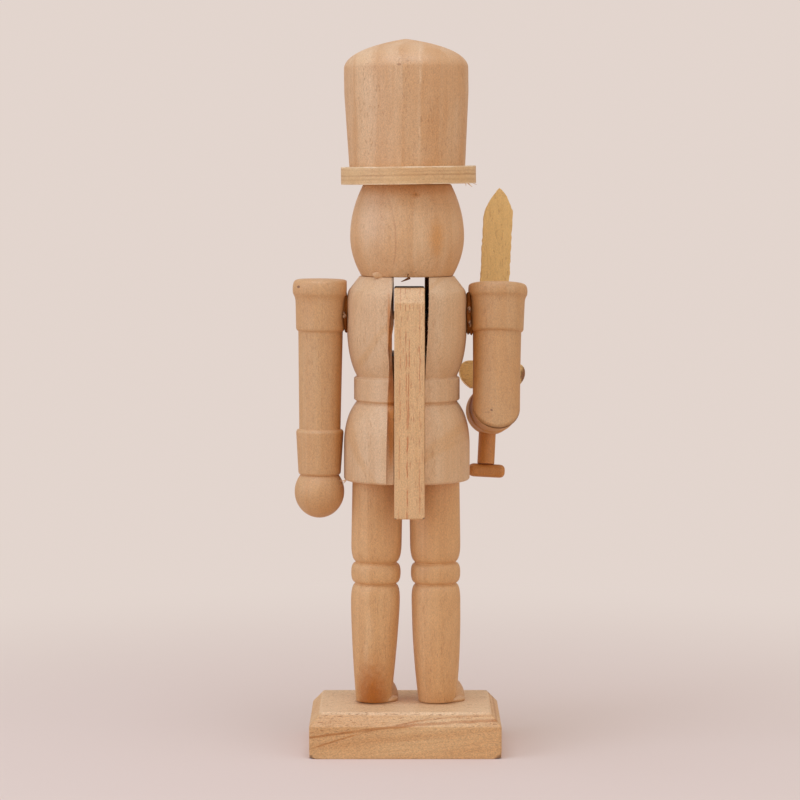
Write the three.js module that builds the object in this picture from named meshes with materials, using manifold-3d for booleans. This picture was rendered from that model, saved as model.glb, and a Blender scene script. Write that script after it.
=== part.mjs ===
// A bare wooden nutcracker soldier: turned body, head, hat, legs and arms on a bevelled base,
// a one-piece jaw and lever on a steel pin, and a wooden sword in the bent right arm.
// Millimetres, +Z up. The face looks along -Y, the lever is at the back (+Y), the figure's left is +X.
// The origin is the centre of the base's underside.
import * as THREE from "three";
import { mergeVertices } from "three/addons/utils/BufferGeometryUtils.js";
import Module from "manifold-3d";

const wasm = await Module();
wasm.setup();

// Fits between pieces
const GLUE_LINE = 0.05; // between flat faces that are glued together
const LEANING_SEAT = 0.3; // between a leaning piece and the face it stands on
const DOWEL_FIT = 0.2; // room round a dowel, tenon, screw or brad
const DOWEL_END = 0.5; // room past its end in a blind hole
const PIN_FIT = 0.12; // running room round the pivot pin in the lever

// Base
const BASE_WIDTH = 67;
const BASE_DEPTH = 53.5;
const BASE_HEIGHT = 15.9;
const BASE_BEVEL_IN = 4;
const BASE_BEVEL_HEIGHT = 4.6;

// Legs, measured along their own axis up from the foot
const LEG_LENGTH = 79.3;
const LEG_SPLAY = THREE.MathUtils.degToRad(0.84);
const LEG_GAP = 2.4;
const THIGH_RADIUS = 8.9;
const CALF_RADIUS = 8.7;
const CALF_HEIGHT = 35;
const ANKLE_RADIUS = 6.9;
const KNEE_HEIGHT = 46.7;
const KNEE_RADIUS = 8.7;
const KNEE_LENGTH = 6;
const KNEE_GROOVE_RADIUS = 7.4;
const KNEE_GROOVE_WIDTH = 1.8;
const LEG_TENON_RADIUS = 4.5;
const LEG_TENON_LENGTH = 12;

// Screws up through the base
const SCREW_HEAD_RADIUS = 3.5;
const SCREW_SHANK_RADIUS = 1.7;
const SCREW_POINT_LENGTH = 3;
const SCREW_IN_LEG = 14;
const SCREW_SUNK = 0.6;

// Shoes
const SHOE_WIDTH = 17.6;
const SHOE_LENGTH = 22;
const SHOE_HEIGHT = 8.5;
const SHOE_FORWARD = 8;
const SHOE_SIDESTEP = -1.25;
const HEEL_RADIUS = 7.5;
const HEEL_HEIGHT = 2.1;
const HEEL_ROUND = 0.7;
const HEEL_BACK = 4.5;

// Torso, measured up from its hem
const TORSO_HEIGHT = 72.5;
const HEM_RADIUS = 22.2;
const HEM_CHAMFER = 0.8;
const SKIRT_ROUND_HEIGHT = 12;
const BELT_HEIGHT = 28;
const BELT_LENGTH = 9.2;
const BELT_RADIUS = 18.5;
const BELT_CHAMFER = 0.8;
const SHOULDER_RADIUS = 21.2;
const SHOULDER_HEIGHT = 64;
const CHEST_HEIGHT = 56;
const NECK_RADIUS = 16.7;

// Jaw and lever, measured down from the top of the torso, in a slot cut off centre
const SLOT_SIDESTEP = -1.5;
const LEVER_WIDTH = 11;
const LEVER_DEPTH = 10;
const LEVER_LENGTH = 80.7;
const LEVER_PROUD = 1.8;
const LEVER_TOP_DROP = 3.5;
const LEVER_TOP_ROUND = 6;
const LEVER_EDGE_ROUND = 1;
const LEVER_SIDE_GAP = 0.7;
const LEVER_REST_GAP = 0.3;
const MOUTH_HEIGHT = 6.5;
const JAW_HEIGHT = 11;
const JAW_ROUND = 1.5;
const JAW_SIDE_GAP = 0.25;
const JAW_LENGTH = 18;
const JAW_DROP_ROOM = 10.2;
const GROOVE_FLARE = 1.7;
const PIVOT_SETBACK = 8;
const PIVOT_DROP = 13.5;
const PIN_RADIUS = 1.5;
const PIN_SUNK = 0.8;

// Head, hat and the dowels that hold them
const HEAD_HEIGHT = 32.5;
const HEAD_BOTTOM_RADIUS = 16.2;
const HEAD_RADIUS = 20.2;
const HEAD_MIDDLE = 14;
const HEAD_TOP_RADIUS = 15.3;
const NECK_DOWEL_RADIUS = 2.5;
const NECK_DOWEL_HALF = 8;
const NECK_DOWEL_SPACING = 11.5;
const NOSE_RADIUS = 3;
const NOSE_LENGTH = 4.6;
const NOSE_HEIGHT = 16;
const NOSE_TENON_RADIUS = 1.6;
const NOSE_TENON_LENGTH = 5;
const BRIM_RADIUS = 23.9;
const BRIM_SIDESTEP = -0.9;
const BRIM_THICKNESS = 6.2;
const BRIM_CHAMFER = 0.4;
const HAT_HEIGHT = 44.8;
const HAT_RADIUS = 21.95;
const HAT_BOTTOM_RADIUS = 20.5;
const HAT_TAPER_HEIGHT = 26;
const HAT_DOME_HEIGHT = 9.8;
const HAT_SHOULDER_RADIUS = 20.4;
const HAT_SHOULDER_DROP = 3.2;
const HAT_DOWEL_RADIUS = 4;
const HAT_DOWEL_IN_HEAD = 12;
const HAT_DOWEL_IN_HAT = 14;

// Both arms
const SHOULDER_DROP = 13.5;
const SHOULDER_DOWEL_RADIUS = 3;
const SHOULDER_DOWEL_IN_TORSO = 9;
const SHOULDER_DOWEL_IN_ARM = 8;
const CAP_ROUND = 1.7;
const HAND_RADIUS = 8.8;
const HAND_HALF_LENGTH = 9.2;
const WRIST_RADIUS = 6.65;

// Straight left arm, from the shoulder dowel
const LEFT_CAP_RADIUS = 9.85;
const LEFT_CAP_FLAT = 0.8;
const LEFT_CAP_RISE = 11.6;
const LEFT_CAP_HEIGHT = 5.9;
const LEFT_SLEEVE_RADIUS = 8.8;
const LEFT_SLEEVE_LENGTH = 11.7;
const LEFT_ARM_LENGTH = 35.1;
const LEFT_ARM_TOP_RADIUS = 7.8;
const LEFT_ARM_LOW_RADIUS = 7.3;
const LEFT_CUFF_LENGTH = 16.2;
const LEFT_CUFF_RADIUS = 8.4;
const LEFT_CUFF_LOW_RADIUS = 7.5;
const CUFF_CHAMFER = 0.8;

// Bent right arm, from the shoulder dowel
const RIGHT_ARM_LEAN = THREE.MathUtils.degToRad(8);
const RIGHT_ARM_TWIST = THREE.MathUtils.degToRad(4);
const RIGHT_CAP_RADIUS = 10.5;
const RIGHT_CAP_RISE = 11.1;
const RIGHT_CAP_HEIGHT = 5;
const RIGHT_SLEEVE_RADIUS = 9.5;
const RIGHT_SLEEVE_LENGTH = 12.4;
const RIGHT_ARM_RADIUS = 8.6;
const ELBOW_RADIUS = 8.1;
const ELBOW_DROP = 32.8;
const MITRE_GAP = 0.3;
const FOREARM_LENGTH = 12.5;
const RIGHT_CUFF_LENGTH = 10;
const RIGHT_CUFF_RADIUS = 9.4;
const RIGHT_CUFF_ROUND = 1.6;
const BRAD_RADIUS = 0.7;
const BRAD_HEAD_RADIUS = 1;
const BRAD_HEAD_HEIGHT = 0.8;
const BRAD_LENGTH = 24;
const BRAD_SUNK = 0.3;

// Sword, measured from the centre of the hand along its own axis
const SWORD_LEAN = THREE.MathUtils.degToRad(-2.9);
const HAND_FLAT_RISE = 7.6;
const GUARD_WIDTH = 23.8;
const GUARD_THICKNESS = 5;
const GUARD_UPPER = 3.7;
const GUARD_LOWER = 6.2;
const GUARD_BELLY = 8;
const GUARD_CORNER = 4;
const BLADE_WIDTH = 10.6;
const BLADE_THICKNESS = 2.2;
const BLADE_LENGTH = 68.4;
const BLADE_POINT_LENGTH = 10.5;
const BLADE_POINT_SIDESTEP = 1.3;
const BLADE_POINT_BEND = 3.6;
const BLADE_LONG_BEND_DROP = 4.5;
const BLADE_SHORT_BEND_DROP = 2;
const BLADE_IN_GUARD = 4.5;
const GRIP_RADIUS = 2.95;
const GRIP_BELOW_HAND = 19.3;
const GRIP_TOP_TENON_RADIUS = 1.5;
const GRIP_TOP_TENON_LENGTH = 4;
const GRIP_END_TENON_RADIUS = 1.2;
const GRIP_END_TENON_LENGTH = 2.6;
const POMMEL_RADIUS = 2.4;
const POMMEL_LENGTH = 12.4;

// Facets of turned pieces, and steps along a curved stretch
const WIDE_SIDES = 32;
const LIMB_SIDES = 22;
const ROD_SIDES = 16;
const CURVE_STEPS = 4;

// Length by which a cutting tool runs past the face that it opens
const CUT_PAST = 1;

// Heights in the stack, from the base's underside
const footHeight = BASE_HEIGHT + LEANING_SEAT;
const hemHeight = footHeight + LEG_LENGTH * Math.cos(LEG_SPLAY) + LEANING_SEAT;
const neckHeight = hemHeight + TORSO_HEIGHT;
const headHeight = neckHeight + GLUE_LINE;
const brimHeight = headHeight + HEAD_HEIGHT + GLUE_LINE;
const hatHeight = brimHeight + BRIM_THICKNESS + GLUE_LINE;
const shoulderHeight = neckHeight - SHOULDER_DROP;

// Places across the figure
const hipSpacing = THIGH_RADIUS + LEG_GAP / 2;
const footSpacing = hipSpacing + LEG_LENGTH * Math.sin(LEG_SPLAY);
const leftArmSpacing = SHOULDER_RADIUS + GLUE_LINE + LEFT_CAP_RADIUS - LEFT_CAP_FLAT;
const rightArmSpacing = SHOULDER_RADIUS + LEANING_SEAT + RIGHT_CAP_RADIUS;
const slotWidth = LEVER_WIDTH + 2 * LEVER_SIDE_GAP;
const jawWidth = slotWidth - 2 * JAW_SIDE_GAP;
const leverBack = HEM_RADIUS + LEVER_PROUD;
const leverFront = leverBack - LEVER_DEPTH;
const grooveFloor = leverFront - LEVER_REST_GAP;
const slotReach = slotWidth / 2 + Math.abs(SLOT_SIDESTEP);
const jawFront = -Math.sqrt(SHOULDER_RADIUS ** 2 - slotReach ** 2);
const slotDepth = MOUTH_HEIGHT + JAW_HEIGHT + JAW_DROP_ROOM;

// The angle, on a hand's round, at which it meets the wrist
const wristAngle = Math.acos(WRIST_RADIUS / HAND_RADIUS);
const handAboveCentre = HAND_HALF_LENGTH * Math.sin(wristAngle);
const handReach = FOREARM_LENGTH + RIGHT_CUFF_LENGTH + handAboveCentre;

// Materials
function wood(colour) {
  return new THREE.MeshStandardMaterial({ color: colour, roughness: 0.72, metalness: 0 });
}

const turnedWood = wood(0xc79b6e);
const boardWood = wood(0xd6ab6c);
const leverWood = wood(0xd0a67e);
const steel = new THREE.MeshStandardMaterial({ color: 0xa9a9a6, roughness: 0.35, metalness: 1 });

// Solids: joining and cutting closed geometries
function solidOf(geometry) {
  const bare = geometry.clone();
  bare.deleteAttribute("normal");
  bare.deleteAttribute("uv");
  const merged = mergeVertices(bare);
  const corners = merged.index.array;
  const kept = [];
  for (let i = 0; i < corners.length; i += 3) {
    const [a, b, c] = corners.slice(i, i + 3);
    if (a !== b && b !== c && c !== a) kept.push(a, b, c);
  }
  const mesh = new wasm.Mesh({
    numProp: 3,
    vertProperties: merged.attributes.position.array,
    triVerts: new Uint32Array(kept),
  });
  return new wasm.Manifold(mesh);
}

function geometryOf(solid) {
  const mesh = solid.getMesh();
  const geometry = new THREE.BufferGeometry();
  geometry.setAttribute("position", new THREE.BufferAttribute(mesh.vertProperties, 3));
  geometry.setIndex(new THREE.BufferAttribute(mesh.triVerts, 1));
  geometry.computeVertexNormals();
  return geometry;
}

function cut(geometry, tools) {
  const start = solidOf(geometry);
  return geometryOf(tools.reduce((solid, tool) => solid.subtract(solidOf(tool)), start));
}

function join(first, second) {
  return geometryOf(solidOf(first).add(solidOf(second)));
}

function common(first, second) {
  return geometryOf(solidOf(first).intersect(solidOf(second)));
}

// Shapes: a profile holds radius against height, drawn from the lower end of the axis to the upper
function turned(profile, sides) {
  return new THREE.LatheGeometry(profile.getPoints(CURVE_STEPS), sides).rotateX(Math.PI / 2);
}

// A rod along +Z from one height to another
function rodZ(radius, from, to) {
  const rod = new THREE.CylinderGeometry(radius, radius, to - from, ROD_SIDES);
  return rod.rotateX(Math.PI / 2).translate(0, 0, (from + to) / 2);
}

// A rod along +X from one place to another
function rodX(radius, from, to) {
  return rodZ(radius, from, to).rotateY(Math.PI / 2);
}

// A rod along -Y from one reach to another
function rodForward(radius, from, to) {
  return rodZ(radius, from, to).rotateX(Math.PI / 2);
}

function box(minimum, maximum) {
  const size = new THREE.Vector3().subVectors(maximum, minimum);
  const centre = new THREE.Vector3().addVectors(minimum, maximum).divideScalar(2);
  return new THREE.BoxGeometry(...size).translate(...centre);
}

// A plate whose outline is drawn in X and Z, centred on Y
function plateXZ(shape, thickness) {
  const plate = new THREE.ExtrudeGeometry(shape, {
    depth: thickness,
    bevelEnabled: false,
    curveSegments: CURVE_STEPS,
  });
  return plate.translate(0, 0, -thickness / 2).rotateX(Math.PI / 2);
}

// A plate whose outline is drawn in Y and Z, centred on X
function plateYZ(shape, thickness) {
  return plateXZ(shape, thickness).rotateZ(Math.PI / 2);
}

// A leg's own frame: its origin is the foot's centre, its Z runs up the leg
function legFrame(side) {
  const frame = new THREE.Group();
  frame.position.set(side * footSpacing, 0, footHeight);
  frame.rotation.y = -side * LEG_SPLAY;
  frame.updateMatrix();
  return frame;
}

const leftLegFrame = legFrame(1);
const rightLegFrame = legFrame(-1);

// The torso's frame stands on the middle of the hem
const torsoFrame = new THREE.Group();
torsoFrame.position.z = hemHeight;

// The right arm's frame hangs on the shoulder dowel, leans the elbow back and turns the hand inward
const rightArmFrame = new THREE.Group();
rightArmFrame.position.set(-rightArmSpacing, 0, shoulderHeight);
rightArmFrame.rotation.set(RIGHT_ARM_LEAN, 0, RIGHT_ARM_TWIST);
rightArmFrame.updateMatrix();

// The sword's frame is in the hand, inside the arm's frame
const swordFrame = new THREE.Group();
swordFrame.position.set(0, -handReach, -ELBOW_DROP);
swordFrame.rotation.y = SWORD_LEAN;
swordFrame.updateMatrix();

// Base
function blockOutline(width) {
  const half = width / 2;
  const bevelled = half - BASE_BEVEL_IN;
  const side = BASE_HEIGHT - BASE_BEVEL_HEIGHT;
  const outline = new THREE.Shape();
  outline.moveTo(-half, 0);
  outline.lineTo(half, 0);
  outline.lineTo(half, side);
  outline.lineTo(bevelled, BASE_HEIGHT);
  outline.lineTo(-bevelled, BASE_HEIGHT);
  outline.lineTo(-half, side);
  return outline;
}

function baseGeometry() {
  const across = plateXZ(blockOutline(BASE_WIDTH), BASE_DEPTH);
  const along = plateYZ(blockOutline(BASE_DEPTH), BASE_WIDTH);
  const holes = [leftLegFrame, rightLegFrame].map((frame) => screwHole().applyMatrix4(frame.matrix));
  return cut(common(across, along), holes);
}

// Countersunk screw in a leg's frame, or with room round it its hole
const screwHeadHeight = -footHeight + SCREW_SUNK;

function screwProfile(room) {
  const head = SCREW_HEAD_RADIUS + room;
  const shank = SCREW_SHANK_RADIUS + room;
  const profile = new THREE.Path();
  profile.moveTo(0, screwHeadHeight);
  profile.lineTo(head, screwHeadHeight);
  profile.lineTo(shank, screwHeadHeight + SCREW_HEAD_RADIUS - SCREW_SHANK_RADIUS);
  profile.lineTo(shank, SCREW_IN_LEG - SCREW_POINT_LENGTH);
  return profile;
}

function screwGeometry() {
  const profile = screwProfile(0);
  profile.lineTo(0, SCREW_IN_LEG);
  return turned(profile, ROD_SIDES);
}

function screwHole() {
  const profile = screwProfile(DOWEL_FIT);
  profile.lineTo(SCREW_SHANK_RADIUS + DOWEL_FIT, SCREW_IN_LEG + DOWEL_END);
  profile.lineTo(0, SCREW_IN_LEG + DOWEL_END);
  const mouth = rodZ(SCREW_HEAD_RADIUS + DOWEL_FIT, screwHeadHeight - SCREW_SUNK - CUT_PAST, screwHeadHeight);
  return join(turned(profile, ROD_SIDES), mouth);
}

// Legs: ankle, calf, a knee ring between two grooves, thigh and the tenon that enters the torso
function legProfile(room) {
  const half = KNEE_LENGTH / 2;
  const below = KNEE_HEIGHT - half - KNEE_GROOVE_WIDTH;
  const above = KNEE_HEIGHT + half + KNEE_GROOVE_WIDTH;
  const groove = KNEE_GROOVE_RADIUS + room;
  const profile = new THREE.Path();
  profile.moveTo(0, 0);
  profile.lineTo(ANKLE_RADIUS + room, 0);
  profile.quadraticCurveTo(CALF_RADIUS + room, CALF_HEIGHT / 2, CALF_RADIUS + room, CALF_HEIGHT);
  profile.lineTo(CALF_RADIUS + room, below);
  profile.lineTo(groove, below + KNEE_GROOVE_WIDTH / 2);
  profile.lineTo(groove, KNEE_HEIGHT - half);
  profile.quadraticCurveTo(KNEE_RADIUS + room, KNEE_HEIGHT - half, KNEE_RADIUS + room, KNEE_HEIGHT);
  profile.quadraticCurveTo(KNEE_RADIUS + room, KNEE_HEIGHT + half, groove, KNEE_HEIGHT + half);
  profile.lineTo(groove, above - KNEE_GROOVE_WIDTH / 2);
  profile.lineTo(THIGH_RADIUS + room, above);
  profile.lineTo(THIGH_RADIUS + room, LEG_LENGTH);
  return profile;
}

function legGeometry() {
  const profile = legProfile(0);
  profile.lineTo(LEG_TENON_RADIUS, LEG_LENGTH);
  profile.lineTo(LEG_TENON_RADIUS, LEG_LENGTH + LEG_TENON_LENGTH);
  profile.lineTo(0, LEG_LENGTH + LEG_TENON_LENGTH);
  return cut(turned(profile, LIMB_SIDES), [screwHole()]);
}

function tenonHole() {
  const end = LEG_LENGTH + LEG_TENON_LENGTH + DOWEL_END;
  return rodZ(LEG_TENON_RADIUS + DOWEL_FIT, LEG_LENGTH - CUT_PAST, end);
}

// Shoe: a domed toe and a low heel, hollowed at the back to fit round the leg
function shoeGeometry(frame) {
  const quarter = new THREE.Path();
  quarter.moveTo(0, 0);
  quarter.lineTo(1, 0);
  quarter.absarc(0, 0, 1, 0, Math.PI / 2, false);
  const toe = turned(quarter, LIMB_SIDES).scale(SHOE_WIDTH / 2, SHOE_LENGTH / 2, SHOE_HEIGHT);
  toe.translate(0, -SHOE_FORWARD, 0);
  const step = new THREE.Path();
  step.moveTo(0, 0);
  step.lineTo(HEEL_RADIUS, 0);
  step.lineTo(HEEL_RADIUS, HEEL_HEIGHT - HEEL_ROUND);
  step.quadraticCurveTo(HEEL_RADIUS, HEEL_HEIGHT, HEEL_RADIUS - HEEL_ROUND, HEEL_HEIGHT);
  step.lineTo(0, HEEL_HEIGHT);
  const behind = box(
    new THREE.Vector3(-HEEL_RADIUS - CUT_PAST, HEEL_BACK, -CUT_PAST),
    new THREE.Vector3(HEEL_RADIUS + CUT_PAST, HEEL_RADIUS + CUT_PAST, HEEL_HEIGHT + CUT_PAST),
  );
  const heel = cut(turned(step, LIMB_SIDES), [behind]);
  const leg = legProfile(LEANING_SEAT);
  leg.lineTo(0, LEG_LENGTH);
  const room = turned(leg, LIMB_SIDES).translate(0, 0, -LEANING_SEAT).applyMatrix4(frame.matrix);
  const shoe = join(toe, heel).translate(frame.position.x + SHOE_SIDESTEP, 0, BASE_HEIGHT + GLUE_LINE);
  const foot = rodZ(ANKLE_RADIUS + LEANING_SEAT, BASE_HEIGHT - CUT_PAST, footHeight + CUT_PAST);
  return cut(shoe, [room, foot.translate(frame.position.x, 0, 0)]);
}

// Torso: skirt, belt and chest, slotted for the jaw and grooved down the back for the lever
function torsoProfile() {
  const beltTop = BELT_HEIGHT + BELT_LENGTH;
  const waist = BELT_RADIUS - BELT_CHAMFER;
  const profile = new THREE.Path();
  profile.moveTo(0, 0);
  profile.lineTo(HEM_RADIUS - HEM_CHAMFER, 0);
  profile.lineTo(HEM_RADIUS, HEM_CHAMFER);
  profile.lineTo(HEM_RADIUS, SKIRT_ROUND_HEIGHT);
  const skirtBend = (SKIRT_ROUND_HEIGHT + 2 * BELT_HEIGHT) / 3;
  profile.quadraticCurveTo(HEM_RADIUS, skirtBend, waist, BELT_HEIGHT);
  profile.lineTo(BELT_RADIUS, BELT_HEIGHT + BELT_CHAMFER);
  profile.lineTo(BELT_RADIUS, beltTop - BELT_CHAMFER);
  profile.lineTo(waist, beltTop);
  const chestBend = (CHEST_HEIGHT + 2 * beltTop) / 3;
  profile.quadraticCurveTo(SHOULDER_RADIUS, chestBend, SHOULDER_RADIUS, CHEST_HEIGHT);
  profile.lineTo(SHOULDER_RADIUS, SHOULDER_HEIGHT);
  const shoulderBend = (SHOULDER_HEIGHT + 3 * TORSO_HEIGHT) / 4;
  profile.quadraticCurveTo(SHOULDER_RADIUS, shoulderBend, NECK_RADIUS, TORSO_HEIGHT);
  profile.lineTo(0, TORSO_HEIGHT);
  return profile;
}

function slotTool() {
  const reach = SHOULDER_RADIUS + CUT_PAST;
  return box(
    new THREE.Vector3(SLOT_SIDESTEP - slotWidth / 2, -reach, TORSO_HEIGHT - slotDepth),
    new THREE.Vector3(SLOT_SIDESTEP + slotWidth / 2, reach, TORSO_HEIGHT + CUT_PAST),
  );
}

function grooveTool() {
  const top = slotWidth / 2;
  const hem = top + GROOVE_FLARE;
  const outline = new THREE.Shape();
  outline.moveTo(-hem, -CUT_PAST);
  outline.lineTo(hem, -CUT_PAST);
  outline.lineTo(top, TORSO_HEIGHT - slotDepth);
  outline.lineTo(top, TORSO_HEIGHT + CUT_PAST);
  outline.lineTo(-top, TORSO_HEIGHT + CUT_PAST);
  outline.lineTo(-top, TORSO_HEIGHT - slotDepth);
  const depth = LEVER_DEPTH + CUT_PAST;
  return plateXZ(outline, depth).translate(SLOT_SIDESTEP, grooveFloor + depth / 2, 0);
}

function torsoGeometry() {
  const fromLeg = new THREE.Matrix4().makeTranslation(0, 0, -hemHeight);
  const tenons = [leftLegFrame, rightLegFrame].map((frame) =>
    tenonHole().applyMatrix4(frame.matrix).applyMatrix4(fromLeg),
  );
  const necks = [1, -1].map((side) =>
    rodZ(NECK_DOWEL_RADIUS + DOWEL_FIT, TORSO_HEIGHT - NECK_DOWEL_HALF - DOWEL_END, TORSO_HEIGHT + CUT_PAST)
      .translate(side * NECK_DOWEL_SPACING, 0, 0),
  );
  const sockets = [1, -1].map((side) => {
    const inner = SHOULDER_RADIUS - SHOULDER_DOWEL_IN_TORSO - DOWEL_END;
    const outer = SHOULDER_RADIUS + CUT_PAST;
    const socket = rodX(SHOULDER_DOWEL_RADIUS + DOWEL_FIT, inner, outer);
    return socket.rotateZ(side > 0 ? 0 : Math.PI).translate(0, 0, TORSO_HEIGHT - SHOULDER_DROP);
  });
  const pinHole = rodX(PIN_RADIUS + DOWEL_FIT, -SHOULDER_RADIUS, SHOULDER_RADIUS);
  pinHole.translate(0, PIVOT_SETBACK, TORSO_HEIGHT - PIVOT_DROP);
  const body = turned(torsoProfile(), WIDE_SIDES);
  return cut(body, [slotTool(), grooveTool(), ...tenons, ...necks, ...sockets, pinHole]);
}

// Jaw and lever in one piece, drawn from the side in the torso's frame
function leverOutline() {
  const top = TORSO_HEIGHT - LEVER_TOP_DROP;
  const end = top - LEVER_LENGTH;
  const jawTop = TORSO_HEIGHT - MOUTH_HEIGHT;
  const jawBottom = jawTop - JAW_HEIGHT;
  const outline = new THREE.Shape();
  outline.moveTo(leverFront, end + LEVER_EDGE_ROUND);
  outline.quadraticCurveTo(leverFront, end, leverFront + LEVER_EDGE_ROUND, end);
  outline.lineTo(leverBack - LEVER_EDGE_ROUND, end);
  outline.quadraticCurveTo(leverBack, end, leverBack, end + LEVER_EDGE_ROUND);
  outline.lineTo(leverBack, top - LEVER_TOP_ROUND);
  outline.quadraticCurveTo(leverBack, top, leverBack - LEVER_TOP_ROUND, top);
  outline.lineTo(jawFront + JAW_ROUND, jawTop);
  outline.quadraticCurveTo(jawFront, jawTop, jawFront, jawTop - JAW_ROUND);
  outline.lineTo(jawFront, jawBottom + JAW_ROUND);
  outline.quadraticCurveTo(jawFront, jawBottom, jawFront + JAW_ROUND, jawBottom);
  outline.lineTo(leverFront - LEVER_EDGE_ROUND, jawBottom);
  outline.quadraticCurveTo(leverFront, jawBottom, leverFront, jawBottom - LEVER_EDGE_ROUND);
  return outline;
}

function leverGeometry() {
  const bar = plateYZ(leverOutline(), LEVER_WIDTH);
  const front = box(
    new THREE.Vector3(-slotWidth, jawFront - CUT_PAST, 0),
    new THREE.Vector3(slotWidth, jawFront + JAW_LENGTH, TORSO_HEIGHT),
  );
  const jaw = common(plateYZ(leverOutline(), jawWidth), front);
  const bore = rodX(PIN_RADIUS + PIN_FIT, -slotWidth, slotWidth);
  bore.translate(0, PIVOT_SETBACK, TORSO_HEIGHT - PIVOT_DROP);
  return cut(join(bar, jaw), [bore]).translate(SLOT_SIDESTEP, 0, 0);
}

function pinGeometry() {
  const half = Math.sqrt(SHOULDER_RADIUS ** 2 - (PIVOT_SETBACK + PIN_RADIUS) ** 2) - PIN_SUNK;
  return rodX(PIN_RADIUS, -half, half);
}

// Head and nose
function headGeometry() {
  const profile = new THREE.Path();
  profile.moveTo(0, 0);
  profile.lineTo(HEAD_BOTTOM_RADIUS, 0);
  profile.quadraticCurveTo(HEAD_RADIUS, HEAD_MIDDLE / 2, HEAD_RADIUS, HEAD_MIDDLE);
  profile.quadraticCurveTo(HEAD_RADIUS, (HEAD_MIDDLE + HEAD_HEIGHT) / 2, HEAD_TOP_RADIUS, HEAD_HEIGHT);
  profile.lineTo(0, HEAD_HEIGHT);
  const necks = [1, -1].map((side) =>
    rodZ(NECK_DOWEL_RADIUS + DOWEL_FIT, -CUT_PAST, NECK_DOWEL_HALF + DOWEL_END)
      .translate(side * NECK_DOWEL_SPACING, 0, 0),
  );
  const hatHole = rodZ(
    HAT_DOWEL_RADIUS + DOWEL_FIT,
    HEAD_HEIGHT - HAT_DOWEL_IN_HEAD - DOWEL_END,
    HEAD_HEIGHT + CUT_PAST,
  );
  const noseSeat = HEAD_RADIUS - NOSE_TENON_LENGTH - DOWEL_END;
  const noseHole = rodForward(NOSE_TENON_RADIUS + DOWEL_FIT, noseSeat, HEAD_RADIUS + CUT_PAST);
  noseHole.translate(0, 0, NOSE_HEIGHT);
  return cut(turned(profile, WIDE_SIDES), [...necks, hatHole, noseHole]);
}

// The nose is turned: a tenon and a round knob, lying along -Y from the head's surface
function noseGeometry() {
  const profile = new THREE.Path();
  profile.moveTo(0, -NOSE_TENON_LENGTH);
  profile.lineTo(NOSE_TENON_RADIUS, -NOSE_TENON_LENGTH);
  profile.lineTo(NOSE_TENON_RADIUS, 0);
  profile.quadraticCurveTo(NOSE_RADIUS, 0, NOSE_RADIUS, NOSE_LENGTH / 2);
  profile.quadraticCurveTo(NOSE_RADIUS, NOSE_LENGTH, 0, NOSE_LENGTH);
  return turned(profile, ROD_SIDES).rotateX(Math.PI / 2);
}

// Hat brim, set a little off centre, hat and their dowel
function brimGeometry() {
  const profile = new THREE.Path();
  profile.moveTo(0, 0);
  profile.lineTo(BRIM_RADIUS - BRIM_CHAMFER, 0);
  profile.lineTo(BRIM_RADIUS, BRIM_CHAMFER);
  profile.lineTo(BRIM_RADIUS, BRIM_THICKNESS - BRIM_CHAMFER);
  profile.lineTo(BRIM_RADIUS - BRIM_CHAMFER, BRIM_THICKNESS);
  profile.lineTo(0, BRIM_THICKNESS);
  const hole = rodZ(HAT_DOWEL_RADIUS + DOWEL_FIT, -CUT_PAST, BRIM_THICKNESS + CUT_PAST);
  return cut(turned(profile, WIDE_SIDES).translate(BRIM_SIDESTEP, 0, 0), [hole]);
}

function hatGeometry() {
  const rim = HAT_HEIGHT - HAT_DOME_HEIGHT;
  const shoulder = HAT_HEIGHT - HAT_SHOULDER_DROP;
  const profile = new THREE.Path();
  profile.moveTo(0, 0);
  profile.lineTo(HAT_BOTTOM_RADIUS, 0);
  profile.lineTo(HAT_RADIUS, HAT_TAPER_HEIGHT);
  profile.lineTo(HAT_RADIUS, rim);
  profile.quadraticCurveTo(HAT_SHOULDER_RADIUS, shoulder, 0, HAT_HEIGHT);
  const hole = rodZ(HAT_DOWEL_RADIUS + DOWEL_FIT, -CUT_PAST, HAT_DOWEL_IN_HAT + DOWEL_END);
  return cut(turned(profile, WIDE_SIDES), [hole]);
}

// Shoulder dowels in the figure's frame, or with room round them their holes in the arms
function leftShoulderRod(room, endRoom) {
  const inner = SHOULDER_RADIUS - SHOULDER_DOWEL_IN_TORSO;
  const outer = leftArmSpacing - LEFT_SLEEVE_RADIUS + SHOULDER_DOWEL_IN_ARM + endRoom;
  return rodX(SHOULDER_DOWEL_RADIUS + room, inner, outer).translate(0, 0, shoulderHeight);
}

function rightShoulderRod(room, endRoom) {
  const inner = SHOULDER_RADIUS - SHOULDER_DOWEL_IN_TORSO;
  const outer = rightArmSpacing - RIGHT_SLEEVE_RADIUS + SHOULDER_DOWEL_IN_ARM + endRoom;
  return rodX(SHOULDER_DOWEL_RADIUS + room, -outer, -inner).translate(0, 0, shoulderHeight);
}

// The end of an arm's profile: a sleeve under a rounded shoulder cap
function addCap(profile, sleeve, cap, capTop, capHeight) {
  profile.lineTo(sleeve, capTop - capHeight);
  profile.lineTo(cap, capTop - capHeight);
  profile.lineTo(cap, capTop - CAP_ROUND);
  profile.quadraticCurveTo(cap, capTop, cap - CAP_ROUND, capTop);
  profile.lineTo(0, capTop);
}

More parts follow.
